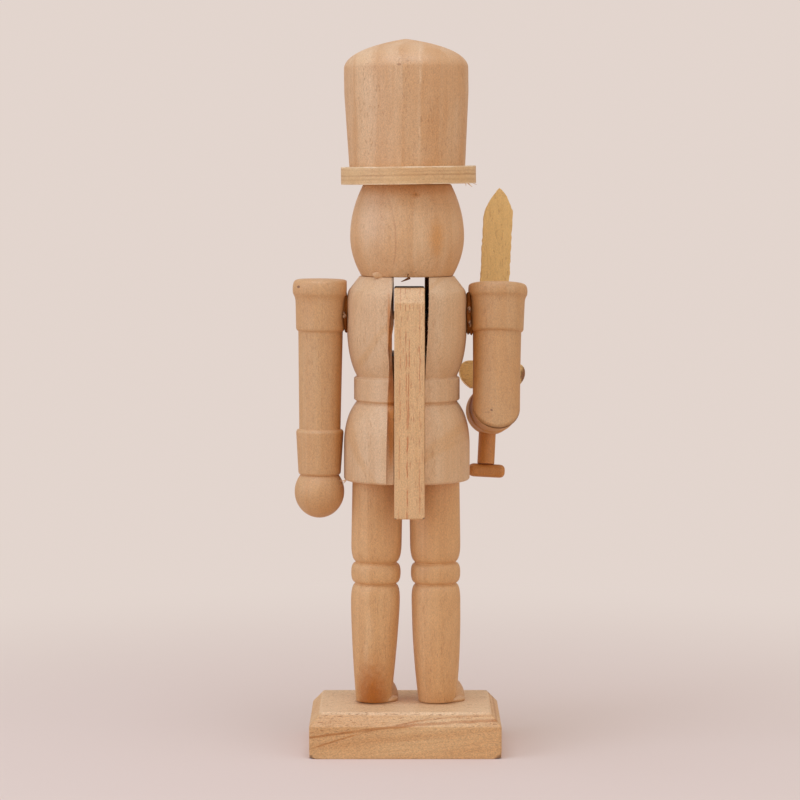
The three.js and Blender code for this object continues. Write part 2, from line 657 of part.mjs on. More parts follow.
// Straight left arm with cuff and closed hand, turned in one piece, its cap sanded flat against the torso
function leftArmGeometry() {
  const socket = leftShoulderRod(DOWEL_FIT, DOWEL_END).translate(-leftArmSpacing, 0, -shoulderHeight);
  const capBottom = LEFT_CAP_RISE - LEFT_CAP_HEIGHT;
  const sleeveEnd = capBottom - LEFT_SLEEVE_LENGTH;
  const cuffTop = sleeveEnd - LEFT_ARM_LENGTH;
  const wrist = cuffTop - LEFT_CUFF_LENGTH;
  const handCentre = wrist - handAboveCentre;
  const profile = new THREE.Path();
  profile.moveTo(0, handCentre - HAND_HALF_LENGTH);
  profile.absellipse(0, handCentre, HAND_RADIUS, HAND_HALF_LENGTH, -Math.PI / 2, wristAngle, false);
  profile.lineTo(LEFT_CUFF_LOW_RADIUS, wrist + CUFF_CHAMFER);
  profile.lineTo(LEFT_CUFF_RADIUS, cuffTop - CUFF_CHAMFER);
  profile.lineTo(LEFT_ARM_LOW_RADIUS, cuffTop);
  profile.lineTo(LEFT_ARM_TOP_RADIUS, sleeveEnd);
  profile.lineTo(LEFT_SLEEVE_RADIUS, sleeveEnd + CUFF_CHAMFER);
  addCap(profile, LEFT_SLEEVE_RADIUS, LEFT_CAP_RADIUS, LEFT_CAP_RISE, LEFT_CAP_HEIGHT);
  const flat = box(
    new THREE.Vector3(-LEFT_CAP_RADIUS - CUT_PAST, -LEFT_CAP_RADIUS, capBottom - CUT_PAST),
    new THREE.Vector3(LEFT_CAP_FLAT - LEFT_CAP_RADIUS, LEFT_CAP_RADIUS, LEFT_CAP_RISE + CUT_PAST),
  );
  return cut(turned(profile, LIMB_SIDES), [flat, socket]);
}

// A block whose face is the elbow's mitre, lying on the forearm's side of it (1) or the upper arm's (-1)
function mitreBlock(side) {
  const edge = 2 * (ELBOW_DROP + handReach + HAND_RADIUS);
  const block = new THREE.BoxGeometry(edge, edge, edge);
  block.translate(0, 0, -side * (edge / 2 - MITRE_GAP / 2));
  return block.rotateX(-Math.PI / 4).translate(0, 0, -ELBOW_DROP);
}

function rightUpperArmGeometry() {
  const sleeveEnd = RIGHT_CAP_RISE - RIGHT_CAP_HEIGHT - RIGHT_SLEEVE_LENGTH;
  const below = -ELBOW_DROP - ELBOW_RADIUS - CUT_PAST;
  const profile = new THREE.Path();
  profile.moveTo(0, below);
  profile.lineTo(ELBOW_RADIUS, below);
  profile.lineTo(ELBOW_RADIUS, ELBOW_RADIUS - ELBOW_DROP);
  profile.lineTo(RIGHT_ARM_RADIUS, sleeveEnd);
  profile.lineTo(RIGHT_SLEEVE_RADIUS, sleeveEnd + CUFF_CHAMFER);
  addCap(profile, RIGHT_SLEEVE_RADIUS, RIGHT_CAP_RADIUS, RIGHT_CAP_RISE, RIGHT_CAP_HEIGHT);
  const arm = turned(profile, LIMB_SIDES);
  const intoArm = rightArmFrame.matrix.clone().invert();
  const socket = rightShoulderRod(DOWEL_FIT, DOWEL_END).applyMatrix4(intoArm);
  return cut(arm, [mitreBlock(1), socket, bradHole()]);
}

// Forearm, cuff and closed hand, turned in one piece and bored for the grip
function rightForearmGeometry() {
  const behind = -ELBOW_RADIUS - CUT_PAST;
  const cuffEnd = FOREARM_LENGTH + RIGHT_CUFF_LENGTH;
  const rim = RIGHT_CUFF_RADIUS - RIGHT_CUFF_ROUND;
  const profile = new THREE.Path();
  profile.moveTo(0, behind);
  profile.lineTo(ELBOW_RADIUS, behind);
  profile.lineTo(ELBOW_RADIUS, FOREARM_LENGTH);
  profile.lineTo(rim, FOREARM_LENGTH);
  profile.quadraticCurveTo(
    RIGHT_CUFF_RADIUS,
    FOREARM_LENGTH,
    RIGHT_CUFF_RADIUS,
    FOREARM_LENGTH + RIGHT_CUFF_ROUND,
  );
  profile.lineTo(RIGHT_CUFF_RADIUS, cuffEnd - RIGHT_CUFF_ROUND);
  profile.lineTo(WRIST_RADIUS, cuffEnd);
  profile.absellipse(0, handReach, HAND_RADIUS, HAND_HALF_LENGTH, -wristAngle, Math.PI / 2, false);
  const forearm = turned(profile, LIMB_SIDES).rotateX(Math.PI / 2).translate(0, 0, -ELBOW_DROP);
  const reach = 2 * HAND_RADIUS;
  const gripHole = rodZ(GRIP_RADIUS + DOWEL_FIT, -reach, reach).applyMatrix4(swordFrame.matrix);
  const flat = box(
    new THREE.Vector3(-HAND_RADIUS, -HAND_HALF_LENGTH, HAND_FLAT_RISE),
    new THREE.Vector3(HAND_RADIUS, HAND_HALF_LENGTH, reach),
  ).applyMatrix4(swordFrame.matrix);
  return cut(forearm, [mitreBlock(-1), bradHole(), gripHole, flat]);
}

// The brad is driven from the back of the elbow along the forearm
function bradProfile(room) {
  const shank = BRAD_RADIUS + room;
  const profile = new THREE.Path();
  const head = -ELBOW_RADIUS + BRAD_SUNK;
  profile.moveTo(0, head);
  profile.lineTo(BRAD_HEAD_RADIUS + room, head);
  profile.lineTo(BRAD_HEAD_RADIUS + room, head + BRAD_HEAD_HEIGHT + room);
  profile.lineTo(shank, head + BRAD_HEAD_HEIGHT + room);
  profile.lineTo(shank, head + BRAD_LENGTH + room);
  profile.lineTo(0, head + BRAD_LENGTH + room);
  return profile;
}

function bradAtElbow(geometry) {
  return geometry.rotateX(Math.PI / 2).translate(0, 0, -ELBOW_DROP);
}

function bradHole() {
  const head = -ELBOW_RADIUS + BRAD_SUNK;
  const mouth = rodZ(BRAD_HEAD_RADIUS + DOWEL_FIT, head - BRAD_SUNK - CUT_PAST, head);
  return bradAtElbow(join(turned(bradProfile(DOWEL_FIT), ROD_SIDES), mouth));
}

function bradGeometry() {
  return bradAtElbow(turned(bradProfile(0), ROD_SIDES));
}

// Sword, in its own frame
const guardBottom = HAND_FLAT_RISE + LEANING_SEAT;
const guardMiddle = guardBottom + GUARD_LOWER;
const guardTop = guardMiddle + GUARD_UPPER;
const bladeBottom = guardTop - BLADE_IN_GUARD;
const gripEnd = -GRIP_BELOW_HAND;

function guardGeometry() {
  const half = GUARD_WIDTH / 2;
  const outline = new THREE.Shape();
  outline.moveTo(half, guardMiddle);
  outline.quadraticCurveTo(half, guardTop, half - GUARD_CORNER, guardTop);
  outline.lineTo(-half + GUARD_CORNER, guardTop);
  outline.quadraticCurveTo(-half, guardTop, -half, guardMiddle);
  outline.absellipse(0, guardMiddle, half, GUARD_BELLY, Math.PI, 2 * Math.PI, false);
  const plate = plateXZ(outline, GUARD_THICKNESS);
  const underside = box(
    new THREE.Vector3(-half, -GUARD_THICKNESS, guardMiddle - GUARD_BELLY - CUT_PAST),
    new THREE.Vector3(half, GUARD_THICKNESS, guardBottom),
  );
  const width = BLADE_WIDTH / 2 + DOWEL_FIT;
  const thickness = BLADE_THICKNESS / 2 + DOWEL_FIT;
  const slot = box(
    new THREE.Vector3(-width, -thickness, bladeBottom - DOWEL_FIT),
    new THREE.Vector3(width, thickness, guardTop + CUT_PAST),
  );
  const tenonEnd = guardBottom + GRIP_TOP_TENON_LENGTH;
  const hole = rodZ(GRIP_TOP_TENON_RADIUS + DOWEL_FIT, guardBottom - CUT_PAST, tenonEnd);
  return cut(plate, [underside, slot, hole]);
}

function bladeGeometry() {
  const half = BLADE_WIDTH / 2;
  const tip = bladeBottom + BLADE_LENGTH;
  const shoulder = tip - BLADE_POINT_LENGTH;
  const outline = new THREE.Shape();
  outline.moveTo(-half, bladeBottom);
  outline.lineTo(half, bladeBottom);
  outline.lineTo(half, shoulder);
  outline.quadraticCurveTo(BLADE_POINT_BEND, tip - BLADE_LONG_BEND_DROP, -BLADE_POINT_SIDESTEP, tip);
  outline.quadraticCurveTo(-BLADE_POINT_BEND, tip - BLADE_SHORT_BEND_DROP, -half, shoulder);
  return plateXZ(outline, BLADE_THICKNESS);
}

function gripGeometry() {
  const shoulder = guardBottom - GLUE_LINE;
  const tenonEnd = guardBottom + GRIP_TOP_TENON_LENGTH - DOWEL_FIT;
  const profile = new THREE.Path();
  profile.moveTo(0, gripEnd - GRIP_END_TENON_LENGTH);
  profile.lineTo(GRIP_END_TENON_RADIUS, gripEnd - GRIP_END_TENON_LENGTH);
  profile.lineTo(GRIP_END_TENON_RADIUS, gripEnd);
  profile.lineTo(GRIP_RADIUS, gripEnd);
  profile.lineTo(GRIP_RADIUS, shoulder);
  profile.lineTo(GRIP_TOP_TENON_RADIUS, shoulder);
  profile.lineTo(GRIP_TOP_TENON_RADIUS, tenonEnd);
  profile.lineTo(0, tenonEnd);
  return turned(profile, ROD_SIDES);
}

// A round-ended bar across the end of the grip
function pommelGeometry() {
  const half = POMMEL_LENGTH / 2;
  const profile = new THREE.Path();
  profile.moveTo(0, -half);
  profile.quadraticCurveTo(POMMEL_RADIUS, -half, POMMEL_RADIUS, POMMEL_RADIUS - half);
  profile.lineTo(POMMEL_RADIUS, half - POMMEL_RADIUS);
  profile.quadraticCurveTo(POMMEL_RADIUS, half, 0, half);
  const middle = gripEnd - GLUE_LINE - POMMEL_RADIUS;
  const bar = turned(profile, ROD_SIDES).rotateY(Math.PI / 2).translate(0, 0, middle);
  const end = gripEnd - GRIP_END_TENON_LENGTH - DOWEL_FIT;
  return cut(bar, [rodZ(GRIP_END_TENON_RADIUS + DOWEL_FIT, end, gripEnd + CUT_PAST)]);
}

// Assembly
function piece(name, geometry, material) {
  const mesh = new THREE.Mesh(geometry, material);
  mesh.name = name;
  return mesh;
}

function pieceAt(name, geometry, material, x, y, z) {
  const mesh = piece(name, geometry, material);
  mesh.position.set(x, y, z);
  return mesh;
}

const nutcracker = new THREE.Group();
nutcracker.add(piece("base", baseGeometry(), turnedWood));

for (const [side, frame] of [["left", leftLegFrame], ["right", rightLegFrame]]) {
  frame.add(piece(side + "_leg", legGeometry(), turnedWood));
  frame.add(piece(side + "_base_screw", screwGeometry(), steel));
  nutcracker.add(frame);
  nutcracker.add(piece(side + "_shoe", shoeGeometry(frame), turnedWood));
}

torsoFrame.add(piece("torso", torsoGeometry(), turnedWood));
torsoFrame.add(piece("jaw_lever", leverGeometry(), leverWood));
torsoFrame.add(pieceAt("pivot_pin", pinGeometry(), steel, 0, PIVOT_SETBACK, TORSO_HEIGHT - PIVOT_DROP));
nutcracker.add(torsoFrame);

for (const [name, side] of [["left_neck_dowel", 1], ["right_neck_dowel", -1]]) {
  const dowel = rodZ(NECK_DOWEL_RADIUS, -NECK_DOWEL_HALF, NECK_DOWEL_HALF);
  nutcracker.add(pieceAt(name, dowel, turnedWood, side * NECK_DOWEL_SPACING, 0, neckHeight));
}
nutcracker.add(pieceAt("head", headGeometry(), turnedWood, 0, 0, headHeight));
const noseReach = HEAD_RADIUS + GLUE_LINE;
nutcracker.add(pieceAt("nose", noseGeometry(), turnedWood, 0, -noseReach, headHeight + NOSE_HEIGHT));
nutcracker.add(pieceAt("brim", brimGeometry(), boardWood, 0, 0, brimHeight));
nutcracker.add(pieceAt("hat", hatGeometry(), turnedWood, 0, 0, hatHeight));
const hatDowel = rodZ(HAT_DOWEL_RADIUS, brimHeight - HAT_DOWEL_IN_HEAD, hatHeight + HAT_DOWEL_IN_HAT);
nutcracker.add(piece("hat_dowel", hatDowel, turnedWood));

nutcracker.add(piece("left_shoulder_dowel", leftShoulderRod(0, 0), turnedWood));
nutcracker.add(piece("right_shoulder_dowel", rightShoulderRod(0, 0), turnedWood));
nutcracker.add(pieceAt("left_arm", leftArmGeometry(), turnedWood, leftArmSpacing, 0, shoulderHeight));

rightArmFrame.add(piece("right_upper_arm", rightUpperArmGeometry(), turnedWood));
rightArmFrame.add(piece("right_forearm", rightForearmGeometry(), turnedWood));
rightArmFrame.add(piece("elbow_brad", bradGeometry(), steel));
swordFrame.add(piece("sword_guard", guardGeometry(), boardWood));
swordFrame.add(piece("sword_blade", bladeGeometry(), boardWood));
swordFrame.add(piece("sword_grip", gripGeometry(), turnedWood));
swordFrame.add(piece("sword_pommel", pommelGeometry(), turnedWood));
rightArmFrame.add(swordFrame);
nutcracker.add(rightArmFrame);

export default nutcracker;
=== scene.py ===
"""A bare wooden nutcracker soldier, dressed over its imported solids.

Lengths in this script are millimetres, in the part's own frame: +Z up, the face along -Y, the lever at
the back (+Y) and the figure's left at +X. Meshes are scaled to metres as they are made.
"""
import math

import bmesh
import bpy
import numpy as np
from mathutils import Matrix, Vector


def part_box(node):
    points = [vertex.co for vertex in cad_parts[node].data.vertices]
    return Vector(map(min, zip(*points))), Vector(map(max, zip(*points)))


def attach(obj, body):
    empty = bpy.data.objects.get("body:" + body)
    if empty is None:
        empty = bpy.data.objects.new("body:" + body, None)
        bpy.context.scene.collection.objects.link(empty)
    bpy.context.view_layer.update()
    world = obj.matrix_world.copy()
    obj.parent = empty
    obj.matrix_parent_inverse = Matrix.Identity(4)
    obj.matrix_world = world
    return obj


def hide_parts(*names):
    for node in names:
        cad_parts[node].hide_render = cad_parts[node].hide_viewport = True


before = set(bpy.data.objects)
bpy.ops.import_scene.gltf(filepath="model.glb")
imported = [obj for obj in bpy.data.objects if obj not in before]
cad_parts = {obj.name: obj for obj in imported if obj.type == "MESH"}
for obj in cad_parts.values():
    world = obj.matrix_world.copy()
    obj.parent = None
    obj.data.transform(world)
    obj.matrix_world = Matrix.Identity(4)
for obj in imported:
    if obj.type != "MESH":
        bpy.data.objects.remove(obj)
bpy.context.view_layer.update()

MM = 0.001


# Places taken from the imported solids
def low(node):
    """A solid's lowest corner, in millimetres."""
    return np.array(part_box(node)[0]) / MM


def high(node):
    """A solid's highest corner, in millimetres."""
    return np.array(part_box(node)[1]) / MM


BASE_TOP = high("base")[2]
FOOT = low("left_leg")[2]
HEM = low("torso")[2]
NECK = high("torso")[2]
HEAD_SEAT = low("head")[2]
BRIM_SEAT = low("brim")[2]
HAT_SEAT = low("hat")[2]
SHOULDER_DROP = 13.5
SHOULDER = NECK - SHOULDER_DROP

LEG_LENGTH = 79.3
LEG_SPLAY = math.radians(0.84)
FOOT_SPACING = 10.1 + LEG_LENGTH * math.sin(LEG_SPLAY)
LEFT_ARM_AT = np.array([30.3, 0, SHOULDER])
RIGHT_ARM_AT = np.array([-32.0, 0, SHOULDER])
ELBOW_DROP = 32.8
ELBOW_RADIUS = 8.4
HAND_RADIUS = 8.8
HAND_HALF = 9.2
WRIST_RADIUS = 6.65
WRIST_ANGLE = math.acos(WRIST_RADIUS / HAND_RADIUS)
HAND_RISE = HAND_HALF * math.sin(WRIST_ANGLE)
FOREARM = 12.5
CUFF = 10.0
HAND_REACH = FOREARM + CUFF + HAND_RISE
SLOT_SIDESTEP = -1.5
SLOT_HALF = 6.2
LEVER_BACK = 24.0

WIDE_SIDES = 112
LIMB_SIDES = 80
ROD_SIDES = 40
FINE_STEP = 0.04
LONGEST_STEP = 2.5
SHARPEST_TURN = math.radians(7)
BELL_REACH = 4
WELD = 1e-6


# Turning and placing
def turn(axis, degrees):
    """The rotation matrix about X (0), Y (1) or Z (2)."""
    c, s = math.cos(math.radians(degrees)), math.sin(math.radians(degrees))
    matrix = np.eye(3)
    a, b = (axis + 1) % 3, (axis + 2) % 3
    matrix[a, a], matrix[a, b], matrix[b, a], matrix[b, b] = c, -s, s, c
    return matrix


RIGHT_ARM_TURN = turn(0, 8) @ turn(2, 4)
FOREARM_TURN = turn(0, 8) @ turn(2, 2.8)
ELBOW = RIGHT_ARM_AT + RIGHT_ARM_TURN @ np.array([0, 0, -ELBOW_DROP])
SWORD_TURN = RIGHT_ARM_TURN @ turn(1, -2.9)
SWORD_AT = RIGHT_ARM_AT + RIGHT_ARM_TURN @ np.array([0, -HAND_REACH, -ELBOW_DROP])
FORWARD = turn(0, 90)
UPRIGHT = np.eye(3)
GLUE_GAP = 0.05


def placed(shape, matrix, at):
    """A shape turned by a matrix and carried to a place."""
    points, faces = shape
    return points @ np.asarray(matrix).T + np.asarray(at), faces


def together(*shapes):
    """Several closed shapes in one mesh: their points in a row, their faces counted on."""
    points, faces, start = [], [], 0
    for shape_points, shape_faces in shapes:
        points.append(shape_points)
        faces += [[corner + start for corner in face] for face in shape_faces]
        start += len(shape_points)
    return np.vstack(points), faces


# Profiles: radius against height, from the lower end of the axis to the upper
def line(*corners):
    """A broken line through the corners given."""
    return np.array(corners, float)


def bend(start, control, end, steps=28):
    """A parabola arc: (1-t)^2 start + 2t(1-t) control + t^2 end."""
    t = np.linspace(0, 1, steps)[:, None]
    return (1 - t) ** 2 * np.array(start) + 2 * t * (1 - t) * np.array(control) + t ** 2 * np.array(end)


def ellipse_arc(centre, radii, first, last, steps=48):
    """Points centre + (a cos u, b sin u) for u between two angles."""
    u = np.linspace(first, last, steps)
    return np.stack([centre[0] + radii[0] * np.cos(u), centre[1] + radii[1] * np.sin(u)], 1)


def way_along(points):
    """The way covered from the first point of a line to each of its points."""
    return np.concatenate([[0], np.cumsum(np.hypot(*np.diff(points, axis=0).T))])


def read_off(wanted, known, points):
    """Points of a flat line, read off between the known places of its own points."""
    return np.stack([np.interp(wanted, known, points[:, 0]), np.interp(wanted, known, points[:, 1])], 1)


def sanded(stretches, width, on_axis=True):
    """A profile with its edges sanded round: it is cut into fine even steps, each point becomes the mean of
    its surroundings under a bell curve of the given width, and then points are kept where it turns."""
    profile = np.vstack(stretches)
    run = way_along(profile)
    steps = read_off(np.linspace(0, run[-1], int(run[-1] / FINE_STEP) + 2), run, profile)
    reach = max(int(BELL_REACH * width / FINE_STEP), 1)
    if on_axis:
        before, after = steps[reach:0:-1] * [-1, 1], steps[-2:-reach - 2:-1] * [-1, 1]
    else:
        before = 2 * steps[0] - steps[reach:0:-1]
        after = 2 * steps[-1] - steps[-2:-reach - 2:-1]
    padded = np.vstack([before, steps, after])
    bell = np.exp(-0.5 * (np.arange(-reach, reach + 1) * FINE_STEP / width) ** 2)
    bell /= bell.sum()
    smooth = np.stack([np.convolve(padded[:, 0], bell, "valid"), np.convolve(padded[:, 1], bell, "valid")], 1)
    course = np.diff(smooth, axis=0)
    heading = np.unwrap(np.arctan2(course[:, 1], course[:, 0]))
    cost = np.hypot(*course.T) / LONGEST_STEP
    cost[1:] += np.abs(np.diff(heading)) / SHARPEST_TURN
    total = np.concatenate([[0], np.cumsum(cost)])
    wanted = np.interp(np.linspace(0, total[-1], int(total[-1]) + 3), total, np.arange(len(total)))
    kept = read_off(wanted, np.arange(len(smooth)), smooth)
    if on_axis:
        kept[[0, -1], 0] = 0
    return kept


# Surfaces
def band(rows, sides):
    """Four-cornered faces between rings of points that follow one another upwards, each ring closed."""
    ring = np.arange(sides)
    after = np.roll(ring, -1)
    start = np.arange(rows - 1)[:, None] * sides
    quads = np.stack([start + ring, start + after, start + sides + after, start + sides + ring], 2)
    return quads.reshape(-1, 4).tolist()


def fan(start, sides, tip, upward):
    """Three-cornered faces from a closed ring of points to one tip, looking up or down the axis."""
    ring = start + np.arange(sides)
    after = np.roll(ring, -1)
    pair = (ring, after) if upward else (after, ring)
    return np.stack([np.full(sides, tip), *pair], 1).tolist()


def capped(rows, sides):
    """A band of rings with a fan at each end, to the two points that follow the rings."""
    count = rows * sides
    return band(rows, sides) + fan(0, sides, count, False) + fan(count - sides, sides, count + 1, True)


def grid_faces(rows, columns):
    """Four-cornered faces over a grid of points."""
    index = np.arange(rows * columns).reshape(rows, columns)
    return np.stack([index[:-1, :-1], index[:-1, 1:], index[1:, 1:], index[1:, :-1]], 2).reshape(-1, 4)


def turned(profile, sides, oval=0.0, phase=0.0):
    """A turned solid: radius r(t), height h(t) along the profile, carried round the axis by the angle u.
    The radius swells by a share cos(2u), as wood does when it dries."""
    inner = profile[1:-1]
    u = np.linspace(0, 2 * math.pi, sides, endpoint=False)
    swell = 1 + oval * np.cos(2 * (u - phase))
    radius = inner[:, :1] * swell
    rings = np.stack(
        [radius * np.cos(u), radius * np.sin(u), np.broadcast_to(inner[:, 1:], radius.shape)], 2
    ).reshape(-1, 3)
    ends = [[0, 0, profile[0, 1]], [0, 0, profile[-1, 1]]]
    return np.vstack([rings, ends]), capped(len(inner), sides)


def mitred(profile, sides, straight_from, slope, rise, rows=14):
    """A turned solid cut off below by a slanting plane: below straight_from each line of the surface runs on
    to the height rise + slope * y, where y is its own distance from the axis."""
    radius = profile[0, 0]
    u = np.linspace(0, 2 * math.pi, sides, endpoint=False)
    cut_height = rise + slope * radius * np.sin(u)
    share = np.linspace(0, 1, rows)[:-1, None]
    stem_height = cut_height + (straight_from - cut_height) * share
    stem_radius = np.broadcast_to(radius, stem_height.shape)
    upper = profile[:-1]
    ring_radius = np.vstack([stem_radius, np.broadcast_to(upper[:, :1], (len(upper), sides))])
    ring_height = np.vstack([stem_height, np.broadcast_to(upper[:, 1:], (len(upper), sides))])
    rings = np.stack([ring_radius * np.cos(u), ring_radius * np.sin(u), ring_height], 2).reshape(-1, 3)
    points = np.vstack([rings, [[0, 0, profile[-1, 1]]]])
    mitre = list(range(sides))[::-1]
    top = fan(len(rings) - sides, sides, len(rings), True)
    return points, band(len(ring_radius), sides) + [mitre] + top


def slab(outline, thickness):
    """A flat piece: a closed outline in two directions (the first across, the second up), carried through
    its thickness, centred on the third. Its faces look along -Y and +Y."""
    count = len(outline)
    front = np.stack([outline[:, 0], np.full(count, -thickness / 2), outline[:, 1]], 1)
    back = front + [0, thickness, 0]
    ring = np.arange(count)
    after = np.roll(ring, -1)
    sides = np.stack([ring, ring + count, after + count, after], 1)
    faces = sides.tolist() + [ring.tolist(), (ring[::-1] + count).tolist()]
    return np.vstack([front, back]), faces


THREAD_ASIDE = (0.31, 0.52, 0.79)
TIP_SHARE = 0.08
TAPER = 0.7


def tapered_thread(path, radius, sides=8):
    """A thread along a path: rings across it whose radius falls from the root to nothing at the tip."""
    path = np.asarray(path, float)
    course = np.gradient(path, axis=0)
    course /= np.linalg.norm(course, axis=1)[:, None]
    side = np.cross(course, THREAD_ASIDE)
    side /= np.linalg.norm(side, axis=1)[:, None]
    up = np.cross(course, side)
    u = np.linspace(0, 2 * math.pi, sides, endpoint=False)
    width = radius * np.linspace(1, TIP_SHARE, len(path)) ** TAPER
    ring = side[:, None] * np.cos(u)[:, None] + up[:, None] * np.sin(u)[:, None]
    rings = (path[:, None] + width[:, None, None] * ring).reshape(-1, 3)
    last = (len(path) - 1) * sides
    caps = [list(range(sides))[::-1], list(range(last, last + sides))]
    return rings, band(len(path), sides) + caps


def threads(rows, height=0, steps=9):
    """Several tapered threads above a height, each bent from its root past a control point to its tip."""
    lift = (0, 0, height)
    return together(*[tapered_thread(bend(*np.add(row[:3], lift), steps), row[3]) for row in rows])


def lump(centre, radii, seed, rough=0.22, rows=18, sides=26):
    """A drop of dried glue: an ellipsoid whose radius rises and falls with a few waves in both angles."""
    draw = np.random.default_rng(seed)
    v = np.linspace(-math.pi / 2, math.pi / 2, rows)[1:-1, None]
    u = np.linspace(0, 2 * math.pi, sides, endpoint=False)
    phases = draw.uniform(0, 2 * math.pi, 4)
    wave = np.sin(3 * u + phases[0]) * np.cos(v) + np.sin(2 * u + 4 * v + phases[1]) * np.cos(v)
    wave = wave + 0.6 * np.sin(5 * u - 3 * v + phases[2]) * np.cos(v)
    size = 1 + rough * wave
    unit = np.stack([np.cos(v) * np.cos(u), np.cos(v) * np.sin(u), np.sin(v) * np.ones_like(u)], 2)
    rings = (unit * size[..., None]).reshape(-1, 3)
    points = np.vstack([rings, [[0, 0, -1], [0, 0, 1]]]) * radii + np.asarray(centre)
    return points, capped(rows - 2, sides)


def lumps(rows, height, *rough):
    """Several drops above a height, each given by its centre, its radii and its seed."""
    return together(*[lump(np.add(at, (0, 0, height)), size, seed, *rough) for at, size, seed in rows])


# Putting a piece into the scene
def piece(name, shape, finish, body="figure", stands_for=(), weld=False):
    """A mesh object at the origin from points in millimetres and faces, riding on a body."""
    points, faces = shape
    mesh = bpy.data.meshes.new(name)
    mesh.from_pydata((np.asarray(points) * MM).tolist(), [], faces)
    mesh.validate()
    mesh.polygons.foreach_set("use_smooth", np.ones(len(mesh.polygons), bool))
    if weld:
        work = bmesh.new()
        work.from_mesh(mesh)
        bmesh.ops.remove_doubles(work, verts=work.verts, dist=WELD)
        bmesh.ops.dissolve_degenerate(work, edges=work.edges, dist=WELD / 10)
        work.to_mesh(mesh)
        work.free()
    mesh.materials.append(finish)
    thing = bpy.data.objects.new(name, mesh)
    bpy.context.scene.collection.objects.link(thing)
    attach(thing, body)
    if stands_for:
        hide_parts(*stands_for)
    return thing


def ease_edges(thing, width, steps=3, angle=40):
    """Rounds the edges that turn by more than the angle, and keeps the flats flat."""
    bevel = thing.modifiers.new("eased_edges", "BEVEL")
    bevel.width = width * MM
    bevel.segments = steps
    bevel.limit_method = "ANGLE"
    bevel.angle_limit = math.radians(angle)
    bevel.harden_normals = True
    thing.data.set_sharp_from_angle(angle=math.radians(angle))


# Shader groups
def new_group(name, inputs, outputs):
    """A shader node group of masks, with its wires and the sockets at its two ends. Each input comes with its
    first value: three numbers make a vector, one makes a plain value."""
    group = bpy.data.node_groups.new(name, "ShaderNodeTree")
    for label, value in inputs.items():
        kind = "NodeSocketVector" if isinstance(value, tuple) else "NodeSocketFloat"
        group.interface.new_socket(label, in_out="INPUT", socket_type=kind).default_value = value
    for label in outputs:
        group.interface.new_socket(label, in_out="OUTPUT", socket_type="NodeSocketFloat")
    given, out = group.nodes.new("NodeGroupInput"), group.nodes.new("NodeGroupOutput")
    return group, Wires(group), given.outputs, out.inputs


class Wires:
    """Short ways to add nodes to a tree and join them."""

    def __init__(self, tree):
        self.tree = tree

    def node(self, kind, settings=None, **inputs):
        made = self.tree.nodes.new(kind)
        for key, value in (settings or {}).items():
            setattr(made, key, value)
        for key, value in inputs.items():
            self.feed(made.inputs[key.replace("_", " ")], value)
        return made

    def feed(self, socket, value):
        if isinstance(value, bpy.types.NodeSocket):
            self.tree.links.new(value, socket)
        else:
            socket.default_value = value

    def sum_of(self, kind, operation, values):
        made = self.node(kind, {"operation": operation})
        for socket, value in zip(made.inputs, values):
            self.feed(socket, value)
        return made.outputs

    def math(self, operation, *values):
        return self.sum_of("ShaderNodeMath", operation, values)[0]

    def vector(self, operation, *values):
        wanted = "Value" if operation in ("LENGTH", "DOT_PRODUCT") else "Vector"
        return self.sum_of("ShaderNodeVectorMath", operation, values)[wanted]

    def noise(self, vector, scale, detail=2.0, roughness=0.5):
        made = self.node("ShaderNodeTexNoise", {"noise_dimensions": "3D"}, Vector=vector, Scale=scale,
                         Detail=detail, Roughness=roughness)
        return made.outputs["Fac"]

    def between(self, value, first, last, low_end=0.0, high_end=1.0, smooth=True):
        made = self.node("ShaderNodeMapRange", {"interpolation_type": "SMOOTHSTEP" if smooth else "LINEAR"})
        for socket, given in zip(made.inputs, (value, first, last, low_end, high_end)):
            self.feed(socket, given)
        return made.outputs["Result"]

    def mix(self, share, a, b, blend="MIX"):
        made = self.node("ShaderNodeMix", {"data_type": "RGBA", "blend_type": blend})
        self.feed(made.inputs[0], share)
        self.feed(made.inputs[6], a)
        self.feed(made.inputs[7], b)
        return made.outputs[2]


